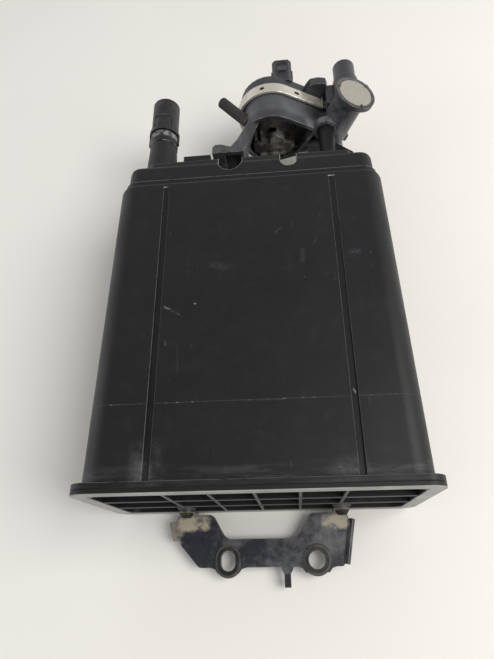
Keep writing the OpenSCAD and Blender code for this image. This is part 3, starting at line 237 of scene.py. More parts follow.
class CanisterStage(bpy.types.PropertyGroup):
    """Floor and lamps."""

    floor: bpy.props.StringProperty(
        name="Floor", description="Colour of the floor, as an sRGB hex value", default="#f0eeea")
    key_power: bpy.props.FloatProperty(
        name="Key lamp", description="Power of the large lamp on the right", default=20.0, unit="POWER")
    fill_power: bpy.props.FloatProperty(
        name="Fill lamp", description="Power of the lamp on the left", default=3.5, unit="POWER")
    sky_low: bpy.props.FloatProperty(
        name="Low sky", description="Strength of the light from all round, near the floor", default=1.0)
    sky_high: bpy.props.FloatProperty(
        name="High sky", description="Strength of the light from overhead", default=0.38)


def linear(hex_colour):
    """An sRGB hex value as linear red, green, blue and alpha."""
    value = np.array([int(hex_colour[i:i + 2], 16) for i in (1, 3, 5)]) / 255
    low = value / 12.92
    high = ((value + 0.055) / 1.055) ** 2.4
    return (*np.where(value <= 0.04045, low, high), 1.0)


def add_node(tree, kind, inputs=None, out=0, **settings):
    """Adds a shader node, sets its properties, fills or links its inputs and returns one of its outputs."""
    made = tree.nodes.new("ShaderNode" + kind)
    for key, value in settings.items():
        setattr(made, key, value)
    for key, value in (inputs or {}).items():
        if isinstance(value, bpy.types.NodeSocket):
            tree.links.new(value, made.inputs[key])
        else:
            made.inputs[key].default_value = value
    return made.outputs[out] if made.outputs else None


class Finish:
    """A material in the making: one Principled shader, the place on the piece in Object coordinates, and the
    colour laid so far."""

    def __init__(self, name, base, roughness, metallic=0.0, ior=1.5, specular=0.5):
        self.material = bpy.data.materials.new(name)
        self.material.use_nodes = True
        self.tree = self.material.node_tree
        self.tree.nodes.clear()
        surface = self.add("BsdfPrincipled", {
            "Roughness": roughness, "Metallic": metallic, "IOR": ior, "Specular IOR Level": specular})
        self.shader = surface.node
        self.add("OutputMaterial", {"Surface": surface})
        self.place = self.add("TexCoord", out="Object")
        self.x, self.y, self.z = self.add("SeparateXYZ", {"Vector": self.place}, out=slice(0, 3))
        self.colour = linear(base)

    def add(self, kind, inputs=None, out=0, **settings):
        """Adds a node to this material."""
        return add_node(self.tree, kind, inputs, out, **settings)

    def patches(self, size_mm, low, high, stretch=(1, 1, 1), turn=(0, 0, 0), detail=5, rough=0.6):
        """A mask of soft patches of about a size: fractal noise, stretched and turned, between two levels."""
        laid = self.add("Mapping", {"Vector": self.place, "Rotation": turn, "Scale": stretch})
        cloud = self.add("TexNoise", {
            "Vector": laid, "Scale": 1 / (size_mm * MM), "Detail": detail, "Roughness": rough}, out="Fac")
        return self.add("MapRange", {"Value": cloud, "From Min": low, "From Max": high},
                        interpolation_type="SMOOTHSTEP")

    def specks(self, spacing_mm, size_mm, keep):
        """A mask of sparse round specks: cells a spacing apart, of which a share holds a speck of a size."""
        cell = {"Vector": self.place, "Scale": 1 / (spacing_mm * MM)}
        distance, colour = self.add("TexVoronoi", cell, out=slice(0, 2))
        reach = 0.5 * size_mm / spacing_mm
        spot = self.add("MapRange", {"Value": distance, "From Min": reach, "From Max": 0.4 * reach})
        chance = self.add("SeparateColor", {"Color": colour})
        kept = self.add("Math", {0: chance, 1: keep}, operation="LESS_THAN")
        return self.add("Math", {0: spot, 1: kept}, operation="MULTIPLY")

    def zone(self, fade_mm, **sides):
        """A mask that is one in a box, with its sides by axis in millimetres, and fades out round it."""
        mask = 1.0
        for axis, (low, high) in sides.items():
            off = self.add("Math", {0: getattr(self, axis), 1: (low + high) / 2 * MM}, operation="SUBTRACT")
            off = self.add("Math", {0: off}, operation="ABSOLUTE")
            half = (high - low) / 2 * MM
            inside = self.add("MapRange", {"Value": off, "From Min": half + fade_mm * MM, "From Max": half},
                              interpolation_type="SMOOTHSTEP")
            mask = self.add("Math", {0: mask, 1: inside}, operation="MULTIPLY")
        return mask

    def stroke(self, start, end, width_mm, core_mm=0.0):
        """A mask of a mark along the line between two places in millimetres, seen from the front: it falls
        from one at half the core to nought at half the width. The nearest point of the line lies at the
        clamped share of the run."""
        root = Vector((*start, 0)) * MM
        run = Vector((*end, 0)) * MM - root
        flat = self.add("CombineXYZ", {"X": self.x, "Y": self.y})
        away = self.add("VectorMath", {0: flat, 1: root}, operation="SUBTRACT")
        along = self.add("VectorMath", {0: away, 1: run / run.length_squared}, "Value",
                         operation="DOT_PRODUCT")
        along = self.add("Math", {0: along, 1: 1.0}, operation="MULTIPLY", use_clamp=True)
        nearest = self.add("VectorMath", {0: run, "Scale": along}, operation="SCALE")
        gap = self.add("VectorMath", {0: away, 1: nearest}, "Value", operation="DISTANCE")
        return self.add("MapRange", {
            "Value": gap, "From Min": width_mm / 2 * MM, "From Max": core_mm / 2 * MM})

    def rubbed(self, reach_mm):
        """A mask of the sharp edges: one where the normal, rounded over the reach, leans well away from the
        surface's own."""
        rounded = self.add("Bevel", {"Radius": reach_mm * MM}, out="Normal", samples=6)
        flat = self.add("NewGeometry", out="Normal")
        lean = self.add("VectorMath", {0: rounded, 1: flat}, out="Value", operation="DOT_PRODUCT")
        return self.add("MapRange", {"Value": lean, "From Min": RUB_START, "From Max": RUB_FULL})

    def where(self, *masks):
        """The product of masks."""
        whole = masks[0]
        for mask in masks[1:]:
            whole = self.add("Math", {0: whole, 1: mask}, operation="MULTIPLY")
        return whole

    def lay(self, mask, colour, strength=1.0):
        """Lays a colour over what is there, by a mask and a strength."""
        self.colour = self.add("Mix", {
            0: self.where(mask, strength), MIX_UNDER: self.colour, MIX_OVER: linear(colour)}, MIX_RESULT,
            data_type="RGBA")

    def polish(self, mask, low, high):
        """Sets the roughness between two values by a mask."""
        rough = self.add("MapRange", {"Value": mask, "To Min": low, "To Max": high})
        self.tree.links.new(rough, self.shader.inputs["Roughness"])

    def relief(self, height, depth_mm, strength=1.0):
        """Turns a height pattern into relief of a depth on the shader's normal."""
        normal = self.add("Bump", {"Height": height, "Distance": depth_mm * MM, "Strength": strength})
        self.tree.links.new(normal, self.shader.inputs["Normal"])

    def done(self):
        """Joins the colour to the shader and gives the material."""
        self.tree.links.new(self.colour, self.shader.inputs["Base Color"])
        return self.material


def moulded_nylon(name, base, pale, dust, dusty=0.2, worn=0.0, roughness=0.46, specular=0.35):
    """Injection-moulded nylon: satin, with a fine spark-eroded grain, thin cloudy dust, a few rubbed specks
    and short hairlines. Worn is the share that is rubbed pale, as along an edge."""
    finish = Finish(name, base, roughness, ior=1.53, specular=specular)
    clouds = finish.patches(42, 0.3, 0.75)
    finish.lay(clouds, "#000000", 0.14)
    finish.polish(clouds, roughness - 0.05, roughness + 0.07)
    finish.lay(finish.patches(11, 0.5, 0.8, detail=8, rough=0.7), dust, dusty)
    finish.lay(finish.specks(11, 0.8, 0.22), pale, 0.4)
    hairlines = finish.patches(2, 0.72, 0.76, stretch=(1, 0.16, 1), turn=(0, 0, 0.6), detail=2)
    finish.lay(hairlines, pale, 0.06)
    if worn:
        finish.lay(finish.patches(4, 0.62 - 0.4 * worn, 0.78 - 0.25 * worn, detail=6), pale, 0.9)
    # The grain is about 0.3 mm on the real moulding and is drawn at 0.7 mm so that it shows
    grain = finish.add("TexNoise", {"Vector": finish.place, "Scale": 1 / (0.7 * MM), "Detail": 3}, out="Fac")
    finish.relief(grain, 0.03, 0.5)
    return finish


def case_nylon(name, colours, sizes, edge=False):
    """The case's black nylon: hazed whitish along the flange and beside the feet of the panel grooves, near
    black in the grooves with dirt and painted shade, with painted shade on the flange's upper side, marked on
    the front by handling, and on its edges rubbed pale, most where the shoulder and the head stand out, which
    also paints their highlight."""
    finish = moulded_nylon(name, colours.case, colours.case_wear_and_highlight, colours.dust, 0.04)
    front = finish.zone(4, **FRONT)
    streaks = finish.patches(8, 0.4, 0.75, stretch=(0.3, 2.0, 1), detail=7, rough=0.75)
    cloud = finish.patches(13, 0.35, 0.7, detail=7, rough=0.7)
    groove = sizes.groove_place / MM
    hazes = (
        (0.2, cloud, finish.zone(9, y=(2, 20), x=(-groove - 3, -groove + 4))),
        (0.15, cloud, finish.zone(8, y=(2, 9), x=(groove - 12, groove - 2))),
        (0.12, streaks, finish.zone(7, y=(2, 7))),
    )
    for strength, pattern, place in hazes:
        finish.lay(finish.where(front, pattern, place), colours.haze, strength)
    # Dirt and painted shade: the panel grooves are laid near black
    inside = sizes.groove_width / MM / 2 - 0.3
    for side in (-groove, groove):
        groove_dirt_and_shade = finish.zone(0.5, x=(side - inside, side + inside), y=(4, 208))
        finish.lay(finish.where(front, groove_dirt_and_shade), "#040405", 0.7)
    # Broken up by a pattern of about a millimetre and a half, as a dry scuff is
    broken = finish.patches(1.4, 0.3, 0.62, detail=5)
    for start, end, width, strength, colour in FRONT_MARKS:
        finish.lay(finish.where(front, broken, finish.stroke(start, end, width)), colour, strength)
    tan = finish.specks(13, 1.1, 0.3)
    finish.lay(finish.where(tan, finish.zone(1, y=(2.5, 7))), "#8d8168", 0.7)
    # Painted shade: the flange's upper side is laid near black
    finish.lay(finish.zone(0.6, y=(-4, 4), **FLANGE_TOP), FLANGE_PAINTED_SHADE, 0.6)
    # Wear and painted highlight: the rubbed edges are laid pale, fully where the shoulder and the head stand
    # out
    if edge:
        rub = finish.patches(5, 0.28, 0.5, detail=6)
        for strength, along in CASE_WEAR_AND_HIGHLIGHT:
            finish.lay(finish.where(rub, finish.zone(1.5, y=along)), colours.case_wear_and_highlight, strength)
    return finish.done()


def tower_nylon(name, colours, edge=False):
    """The port's black nylon, scraped whitish round the collar under the quick connector."""
    finish = moulded_nylon(name, "#191a1d", colours.case_wear_and_highlight, colours.dust, 0.08, 0.5 if edge else 0)
    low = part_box("quick_connector_body")[0][1] / MM
    scrape = finish.patches(4, 0.4, 0.6, stretch=(1, 0.5, 1), detail=6)
    finish.lay(finish.where(scrape, finish.zone(2.5, y=(low - 4, low + 2))), "#a5a5a3", 0.6)
    return finish.done()


def housing_nylon(name, colours, worn=0.0):
    """The valve housing's dark grey nylon: satin, with dust smeared whitish at the foot of the leaning tube
    and on the arm, and paler in patches on the upper side of the collar."""
    finish = moulded_nylon(name, colours.valve, colours.valve_pale, colours.dust, 0.16, worn, 0.34, 0.5)
    smear = finish.patches(8, 0.34, 0.68, stretch=(1, 0.5, 1), turn=(0, 0, 0.8), detail=7, rough=0.7)
    finish.lay(finish.where(smear, finish.zone(8, **TUBE_FOOT)), colours.valve_pale, 0.6)
    finish.lay(finish.where(smear, finish.zone(6, **VALVE_ARM)), colours.valve_pale, 0.3)
    finish.lay(finish.where(finish.patches(20, 0.2, 0.7), finish.zone(6, **COLLAR)), "#6d6f74", 0.45)
    return finish.done()


def cover_nylon(name, colours, edge=False):
    """The cover's black nylon: painted shade on the flange's upper side, a pale grey on the rim of the end
    face, and a darker grey on the ribs inside the rim."""
    finish = moulded_nylon(name, "#141518", colours.case_wear_and_highlight, colours.dust, 0.07, 0, 0.5)
    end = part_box("base_cover")[0][1] / MM
    if edge:
        rub = finish.patches(5, 0.25, 0.55, detail=6)
        finish.lay(finish.where(rub, finish.zone(0.6, y=(end, -1.2))), colours.case_wear_and_highlight, 0.3)
    # Painted shade: the flange's upper side is laid near black
    finish.lay(finish.zone(0.6, y=(end + 0.6, 4), **FLANGE_TOP), FLANGE_PAINTED_SHADE, 0.6)
    # The end face is laid grey, and its rim a paler grey in patches
    face = finish.zone(0.35, y=(end - 1, end + 0.3))
    rim = finish.add("Math", {0: 1.0, 1: finish.zone(0.6, **RIM_IN)}, operation="SUBTRACT")
    finish.lay(face, "#55565a", 0.75)
    finish.lay(finish.where(face, rim), colours.pale_end_rim, 0.85)
    finish.lay(finish.where(face, rim, finish.patches(17, 0.35, 0.65, detail=6)), "#b1b0ac", 0.5)
    return finish.done()


def painted_steel(name, colours, edge=False):
    """Pressed steel under thin dip paint: blue-black, blotched with grey haze and darker stains, with painted
    shade on the rings round the holes, darkest on the peg's tip, with tan residue on the corners by the cover
    and grey-brown edges where the paint is worn through."""
    finish = Finish(name, colours.paint, 0.42)
    haze = finish.patches(15, 0.42, 0.66, detail=7, rough=0.68)
    finish.lay(haze, colours.paint_pale, 0.62)
    stains = finish.patches(7, 0.5, 0.64, turn=(0.4, 0.2, 1.0), detail=7, rough=0.7)
    finish.lay(stains, "#14161e", 0.8)
    right = finish.zone(14, **BRACKET_RIGHT)
    finish.lay(finish.where(right, finish.patches(9, 0.3, 0.6, detail=6)), "#77777a", 0.5)
    crust = finish.patches(8, 0.15, 0.75, detail=8, rough=0.7)
    for strength, place in RESIDUE_PLACES:
        # The soft patch is cut off where it is faint, so its edge follows the crust's pattern
        caked = finish.where(crust, finish.zone(7, **place))
        caked = finish.add("MapRange", {"Value": caked, "From Min": 0.2, "From Max": 0.6})
        finish.lay(caked, colours.residue, strength)
    # Painted shade: the rings round the holes are laid dark
    for x, y in RING_PLACES:
        finish.lay(finish.stroke((x, y), (x, y + 0.5), RING_SHADE_WIDTH, RING_SHADE_CORE), "#101116", 0.8)
    finish.lay(finish.zone(1.5, **PEG_TIP), "#0b0b0d", 0.9)
    if edge:
        bare = finish.patches(6, 0.34, 0.56, detail=6)
        finish.lay(finish.where(bare, finish.zone(2, **BRACKET_HEAD)), "#8a8071", 0.6)
        finish.lay(finish.patches(5, 0.45, 0.65, turn=(0, 0, 1), detail=6), "#7d7d80", 0.35)
    broken = finish.patches(10, 0.25, 0.55, detail=6)
    finish.lay(finish.where(finish.rubbed(0.8), broken), "#8d867a", 0.75)
    finish.polish(haze, 0.3, 0.56)
    # Orange peel of about a millimetre and a half
    peel = finish.add("TexNoise", {"Vector": finish.place, "Scale": 1 / (1.6 * MM), "Detail": 4}, out="Fac")
    finish.relief(peel, 0.06, 0.6)
    return finish.done()


def strip_steel(name, colour, roughness=0.3):
    """Rolled stainless strip: satin metal, only partly metallic so that its pale colour shows as painted
    sheen, with fine rolling lines along the strip under a dull film that dulls its shine in patches, and
    painted shade at its slots."""
    # Only partly metallic, so that the pale colour of the strip shows as painted sheen
    finish = Finish(name, colour, roughness, metallic=0.6)
    # Rolling lines are about 0.05 mm apart and are drawn at 0.5 mm so that they show
    lines = finish.patches(0.5, 0.25, 0.8, stretch=(0.1, 1, 0.1), detail=3)
    film = finish.patches(8, 0.5, 0.78, detail=6)
    finish.lay(lines, "#8f8a80", 0.05)
    finish.lay(film, "#a49e92", 0.15)
    finish.polish(film, roughness - 0.06, roughness + 0.2)
    # Painted shade: the band is laid dark round its slots
    for across, along in SLOT_PLACES:
        slot_shade = finish.stroke((across - 0.5, along), (across + 0.5, along), SLOT_SHADE_WIDTH, SLOT_SHADE_CORE)
        finish.lay(slot_shade, "#1b1a19", 0.9)
    return finish.done()


def drawn_steel(name, colour, roughness=0.36):
    """Zinc-plated or drawn steel: dull grey metal, a little mottled."""
    finish = Finish(name, colour, roughness, metallic=1.0)
    mottle = finish.patches(3, 0.35, 0.7)
    finish.lay(mottle, "#5f574b", 0.45)
    finish.relief(mottle, 0.03, 0.3)
    return finish.done()


def pressed_felt(name, colour, size_mm=0.9):
    """Needled filter felt: matt and pale, with crossing fibres and a little grime."""
    finish = Finish(name, colour, 0.92, ior=1.45)
    # Fibres are about 0.05 mm thick and are drawn as strands of about a millimetre so that they show
    first = finish.patches(size_mm, 0.35, 0.75, stretch=(1, 0.25, 1), turn=(0.2, 0.5, 0.7), detail=4)
    second = finish.patches(size_mm, 0.35, 0.75, stretch=(0.25, 1, 1), turn=(0.1, 0.4, 0.2), detail=4)
    fibres = finish.add("Math", {0: first, 1: second}, operation="MAXIMUM")
    gaps = finish.add("Math", {0: 1.0, 1: fibres}, operation="SUBTRACT")
    finish.lay(gaps, "#5d5a52", 0.3)
    finish.lay(finish.patches(12, 0.5, 0.8, detail=6), "#8d8778", 0.3)
    finish.relief(fibres, 0.12, 0.7)
    return finish.done()


def moulded_rubber(name, colour, bloom, bloomed=0.3):
    """Cured rubber: dull and slightly soft to the eye, with a chalky bloom."""
    finish = Finish(name, colour, 0.68, ior=1.52)
    finish.lay(finish.patches(7, 0.45, 0.8, detail=7, rough=0.7), bloom, bloomed)
    skin = finish.add("TexNoise", {"Vector": finish.place, "Scale": 1 / (1.2 * MM), "Detail": 4}, out="Fac")
    finish.relief(skin, 0.05, 0.5)
    return finish.done()


def caked_nylon(name, colours, worn=0.0):
    """The nylon in the valve's mouth under caked road dust: satin grey-brown lumps on a dark ground that is
    partly painted shade of the deep mouth, paler along its middle with dust and painted light."""
    finish = moulded_nylon(name, colours.inlet, "#a19a8c", colours.dust, 0.16, worn, 0.36)
    lumps = finish.patches(10, 0.35, 0.7, detail=4, rough=0.5)
    finish.lay(lumps, "#736f68", 0.55)
    pale = finish.patches(5, 0.3, 0.65, detail=6)
    # Dust and painted light: the insert is laid paler along its middle
    finish.lay(finish.where(pale, finish.stroke(*INLET_DUST_AND_LIGHT, 24, 6)), "#96928b", 0.6)
    finish.relief(lumps, 0.5, 0.5)
    return finish.done()


def charcoal_granules(name):
    """Packed activated charcoal: dead black grains of about 2 mm with a dry grey glint on a few faces."""
    finish = Finish(name, "#101011", 0.8, ior=1.6)
    grains = {"Vector": finish.place, "Scale": 1 / (2.2 * MM)}
    distance, colour = finish.add("TexVoronoi", grains, out=slice(0, 2))
    finish.lay(finish.add("SeparateColor", {"Color": colour}), "#2a2a2c")
    finish.relief(distance, 0.8, 0.9)
    return finish.done()


def wound_copper(name):
    """Enamelled copper wire wound in layers: amber metal with the ridges of the turns along the coil."""
    finish = Finish(name, "#6d3414", 0.3, metallic=1.0)
    # The wire is about 0.2 mm thick and is drawn at 0.6 mm so that the turns show
    turns = finish.add("TexWave", {
        "Vector": finish.place, "Scale": 1 / (math.pi * 0.6 * MM), "Distortion": 0.4}, out="Fac",
        bands_direction="Y")
    finish.lay(turns, "#b56d36")
    finish.relief(turns, 0.12, 0.8)
    return finish.done()


def tinned_brass(name):
    """Tinned brass blade: pale gold metal, slightly dulled."""
    finish = Finish(name, "#cdb886", 0.3, metallic=1.0)
    finish.lay(finish.patches(2, 0.4, 0.7), "#8e7a4e", 0.5)
    return finish.done()


def softened(name, node_name, edge, faces, edges):
    """A copy of a CAD node's surface with its corner points joined, flat triangles joined to plates and each
    sharp edge that stands out cut to a narrow round. The round takes the worn finish. The copy stands for the
    node."""
    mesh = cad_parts[node_name].data.copy()
    mesh.name = name
    work = bmesh.new()
    work.from_mesh(mesh)
    bmesh.ops.remove_doubles(work, verts=work.verts, dist=JOIN)
    bmesh.ops.dissolve_degenerate(work, edges=work.edges, dist=JOIN)
    bmesh.ops.dissolve_limit(work, angle_limit=FLAT_TURN, verts=work.verts, edges=work.edges)
    weight = work.edges.layers.float.new("bevel_weight_edge")
    for side in work.edges:
        stands_out = side.is_manifold and side.is_convex
        side[weight] = float(stands_out and side.calc_face_angle() > SHARP_TURN)
    work.to_mesh(mesh)
    work.free()
    if mesh.attributes.get("custom_normal"):
        mesh.attributes.remove(mesh.attributes["custom_normal"])
    mesh.materials.clear()
    mesh.materials.append(faces)
    mesh.materials.append(edges)
    mesh.polygons.foreach_set("material_index", np.zeros(len(mesh.polygons), np.int32))
    mesh.polygons.foreach_set("use_smooth", np.ones(len(mesh.polygons), bool))
    mesh.set_sharp_from_angle(angle=CREASE_TURN)
    made = place_piece(name, mesh)
    bevel = made.modifiers.new("softened_edges", "BEVEL")
    bevel.width = edge
    bevel.segments = 2
    bevel.limit_method = "WEIGHT"
    bevel.use_clamp_overlap = False
    bevel.material = 1
    normals = made.modifiers.new("flat_faces_stay_flat", "WEIGHTED_NORMAL")
    normals.keep_sharp = True
    normals.weight = 100
    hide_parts(node_name)


def dress(names, material):
    """Gives CAD nodes that stay as they are one finish."""
    for name in names:
        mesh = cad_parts[name].data
        mesh.materials.clear()
        mesh.materials.append(material)


def squeezed_spring(name, node_name, material):
    """A copy of the valve's spring with a finish, put in as a piece of the canister in place of the node."""
    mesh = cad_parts[node_name].data.copy()
    mesh.name = name
    mesh.materials.clear()
    mesh.materials.append(material)
    made = place_piece(name, mesh)
    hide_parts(node_name)
    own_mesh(made)


def grid_mesh(name, points, material, closed=False):
    """A mesh from a grid of points, row by row, with a quad between each four neighbours. A closed grid also
    joins its last row to its first and its last column to its first."""
    rows, columns = points.shape[:2]
    index = np.arange(rows * columns).reshape(rows, columns)
    down, along = np.roll(index, -1, 0), np.roll(index, -1, 1)
    quads = np.stack([index, along, np.roll(down, -1, 1), down], 2)
    if not closed:
        quads = quads[:-1, :-1]
    mesh = bpy.data.meshes.new(name)
    mesh.from_pydata(points.reshape(-1, 3), [], quads.reshape(-1, 4))
    mesh.polygons.foreach_set("use_smooth", np.ones(len(mesh.polygons), bool))
    mesh.materials.append(material)
    mesh.update()
    return mesh


def place_piece(name, mesh):
    """Puts a mesh in the scene as a piece of the canister."""
    made = bpy.data.objects.new(name, mesh)
    bpy.context.scene.collection.objects.link(made)
    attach(made, BODY)
    return made


def case_front(sizes, y, count):
    """Points on the case's outline at a distance from the weld, from the middle of the left side over the
    front face to the middle of the right side: straight runs joined by quarter circles. Returns the points
    and their outward normals."""
    low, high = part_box("base_cover")
    middle = (low[2] + high[2]) / 2
    lean = sizes.case_draft * y
    half_w = (high[0] - low[0]) / 2 - sizes.flange_lip - lean
    half_d = (high[2] - low[2]) / 2 - sizes.flange_lip - lean
    r = sizes.case_corner
    turn = np.linspace(0, math.pi / 2, count)
    corner = np.stack([np.sin(turn), np.cos(turn)], 1)
    right = np.stack([half_w - r, half_d - r]) + r * corner
    left = right[::-1] * [-1, 1]
    outline = np.concatenate([[[-half_w, 0.0]], left, right, [[half_w, 0.0]]])
    normal = np.concatenate([[[-1.0, 0.0]], corner[::-1] * [-1, 1], corner, [[1.0, 0.0]]])
    return outline + [0, middle], normal


def split_line_mesh(name, sizes, material):
    """The ridge of the mould's split line: a half-round profile carried along the case's outline, cut where
    the panel grooves cross it. At a point of the outline the profile stands out along the outward normal."""
    y = sizes.split_place
    outline, normal = case_front(sizes, y, SPLIT_CORNER_STEPS)
    half = len(outline) // 2
    level = outline[half, 1]
    up = [0.0, 1.0]
    inner = sizes.groove_place - sizes.groove_width / 2
    outer = sizes.groove_place + sizes.groove_width / 2
    runs = (
        (np.vstack([outline[:half], [-outer, level]]), np.vstack([normal[:half], up])),
        (np.array([[-inner, level], [inner, level]]), np.array([up, up])),
        (np.vstack([[outer, level], outline[half:]]), np.vstack([up, normal[half:]])),
    )
    swing = np.linspace(0, math.pi, SPLIT_ACROSS_STEPS)
    across = -np.cos(swing) * sizes.split_width / 2
    rise = (np.sin(swing) - SPLIT_SUNK) * sizes.split_height
    work = bmesh.new()
    for path, way in runs:
        x = path[:, :1] + way[:, :1] * rise
        z = path[:, 1:] + way[:, 1:] * rise
        whole = grid_mesh(name, np.stack([x, np.broadcast_to(y + across, x.shape), z], 2), material)
        work.from_mesh(whole)
    bmesh.ops.recalc_face_normals(work, faces=work.faces)
    work.to_mesh(whole)
    work.free()
    return whole


def weld_bead_mesh(name, sizes, material):
    """The bead squeezed out of the weld: a round profile carried along the flange's outline in the weld's
    plane, whose radius swells and shrinks by a sum of sines of the way run. It stays inside the flange's
    edge."""
    low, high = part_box("base_cover")
    half = np.array([high[0] - low[0], high[2] - low[2]]) / 2
    r = sizes.flange_corner
    turn = np.linspace(0, math.pi / 2, BEAD_CORNER_STEPS)
    corner = np.stack([np.cos(turn), np.sin(turn)], 1)
    spread = np.linspace(0, 1, BEAD_SIDE_STEPS)[1:-1, None]
    inset = half - r
    corners = [corner, corner[::-1] * [-1, 1], -corner, corner[::-1] * [1, -1]]
    arcs = [np.sign(c.mean(0)) * inset + r * c for c in corners]
    path, way = [], []
    following = zip(arcs[1:] + arcs[:1], corners[1:] + corners[:1])
    for arc, out, (after, next_out) in zip(arcs, corners, following):
        path += [arc, arc[-1] + (after[0] - arc[-1]) * spread]
        way += [out, np.broadcast_to(next_out[0], (len(spread), 2))]
    path, way = np.vstack(path), np.vstack(way)
    step = np.linalg.norm(np.diff(path, axis=0, append=path[:1]), axis=1)
    run = (np.cumsum(step) / step.sum() * 2 * math.pi)[:, None]
    swell = BEAD_RADIUS + sum(height * np.sin(count * run + start) for height, count, start in BEAD_WAVES)
    swing = np.linspace(0, 2 * math.pi, BEAD_ROUND_STEPS, endpoint=False)
    depth = (swell * np.cos(swing) - BEAD_INSET) * MM
    x = path[:, :1] + way[:, :1] * depth
    z = path[:, 1:] + way[:, 1:] * depth + (low[2] + high[2]) / 2
    mesh = grid_mesh(name, np.stack([x, swell * np.sin(swing) * MM, z], 2), material, closed=True)
    work = bmesh.new()
    work.from_mesh(mesh)
    bmesh.ops.recalc_face_normals(work, faces=work.faces)
    work.to_mesh(mesh)
    work.free()
    return mesh


class CANISTER_OT_case(bpy.types.Operator):
    """Finish the case and its base cover, and add the mould's split line and the weld's bead"""

    bl_idname = "canister.case"
    bl_label = "Case and cover"

    def execute(self, context):
        sizes, colours = context.scene.canister_sizes, context.scene.canister_colours
        shell = case_nylon("moulded_black_nylon", colours, sizes)
        rubbed = case_nylon("rubbed_and_highlit_black_nylon", colours, sizes, edge=True)
        softened("case_moulding", "case", sizes.mould_edge, shell, rubbed)
        softened("post_moulding", "locating_post", sizes.mould_edge, shell, rubbed)
        dress(["vent_spigot"], shell)
        tray = cover_nylon("moulded_cover_nylon", colours)
        tray_rubbed = cover_nylon("rubbed_cover_nylon", colours, edge=True)
        softened("cover_moulding", "base_cover", sizes.mould_edge, tray, tray_rubbed)
        line = moulded_nylon("split_line_nylon", "#303032", colours.case_wear_and_highlight, colours.dust, 0.1, 0.2)
        place_piece("split_line", split_line_mesh("split_line", sizes, line.done()))
        bead = moulded_nylon("melted_bead_nylon", "#0d0d0e", colours.case_wear_and_highlight, colours.dust, 0.1, 0, 0.35)
        place_piece("weld_bead", weld_bead_mesh("weld_bead", sizes, bead.done()))
        return {"FINISHED"}


class CANISTER_OT_bracket(bpy.types.Operator):
    """Finish the mounting bracket and its screws"""

    bl_idname = "canister.bracket"
    bl_label = "Bracket"

    def execute(self, context):
        sizes, colours = context.scene.canister_sizes, context.scene.canister_colours
        paint = painted_steel("dip_painted_steel", colours)
        worn = painted_steel("worn_painted_steel", colours, edge=True)
        softened("bracket_pressing", "mounting_bracket", sizes.fine_edge, paint, worn)
        dull = drawn_steel("dull_zinc_steel", "#2f2e2d", 0.5)
        bright = drawn_steel("rubbed_zinc_steel", "#55534f", 0.42)
        softened("tab_screws", "bracket_screws", sizes.mould_edge, dull, bright)
        return {"FINISHED"}


class CANISTER_OT_port(bpy.types.Operator):
    """Finish the vapour port and the quick connector on it"""

    bl_idname = "canister.port"
    bl_label = "Vapour port"

    def execute(self, context):
        sizes, colours = context.scene.canister_sizes, context.scene.canister_colours
        tower = tower_nylon("moulded_port_nylon", colours)
        tower_rubbed = tower_nylon("rubbed_port_nylon", colours, edge=True)
        softened("port_moulding", "port_tower", sizes.mould_edge, tower, tower_rubbed)
        states = (("moulded", 0), ("rubbed", 0.6))
        sleeve, sleeve_rubbed = (
            moulded_nylon(f"{state}_fitting_nylon", colours.fitting, "#8b8b8e", colours.dust, 0.2, worn, 0.42)
            for state, worn in states)
        softened("connector_sleeve", "quick_connector_body", sizes.mould_edge, sleeve.done(),
                 sleeve_rubbed.done())
        clip, clip_rubbed = (
            moulded_nylon(f"{state}_clip_nylon", "#252528", "#77777a", colours.dust, 0.15, worn, 0.4)
            for state, worn in states)
        softened("connector_retainer", "quick_connector_clip", 0.3 * sizes.fine_edge, clip.done(),
                 clip_rubbed.done())
        return {"FINISHED"}


class CANISTER_OT_valve(bpy.types.Operator):
    """Finish the vent valve's housing, cap, band, inlet, hose and filter disc"""

    bl_idname = "canister.valve"
    bl_label = "Vent valve"

    def execute(self, context):
        sizes, colours = context.scene.canister_sizes, context.scene.canister_colours
        states = (("moulded", 0), ("rubbed", 0.55))
        housing, housing_rubbed = (
            housing_nylon(f"{state}_valve_nylon", colours, worn) for state, worn in states)
        softened("valve_housing_moulding", "valve_housing", 1.2 * sizes.fine_edge, housing, housing_rubbed)
        cap, cap_rubbed = (
            moulded_nylon(
                f"{state}_cap_nylon", colours.cap, colours.valve_pale, colours.dust, 0.18, worn, 0.42)
            for state, worn in states)
        softened("valve_cap_moulding", "valve_module", 0.75 * sizes.fine_edge, cap.done(), cap_rubbed.done())
        strip = strip_steel("rolled_stainless_strip", colours.band)
        bright = strip_steel("rubbed_stainless_strip", "#efece4", 0.24)
        softened("band_strip", "retaining_band", sizes.fine_edge, strip, bright)
        softened("inlet_moulding", "inlet_core", sizes.fine_edge, caked_nylon("caked_inlet_nylon", colours),
                 caked_nylon("rubbed_inlet_nylon", colours, 0.4))
        skin = moulded_rubber("aged_hose_rubber", colours.hose, "#6a665f")
        lip = moulded_rubber("rubbed_hose_rubber", "#7a756b", "#8a857c")
        softened("breather_tube", "breather_hose", sizes.fine_edge, skin, lip)
        felt = pressed_felt("filter_felt", colours.felt)
        rim = pressed_felt("filter_felt_rim", "#7c786d")
        softened("filter_felt_disc", "filter_disc", 1.5 * sizes.mould_edge, felt, rim)
        return {"FINISHED"}


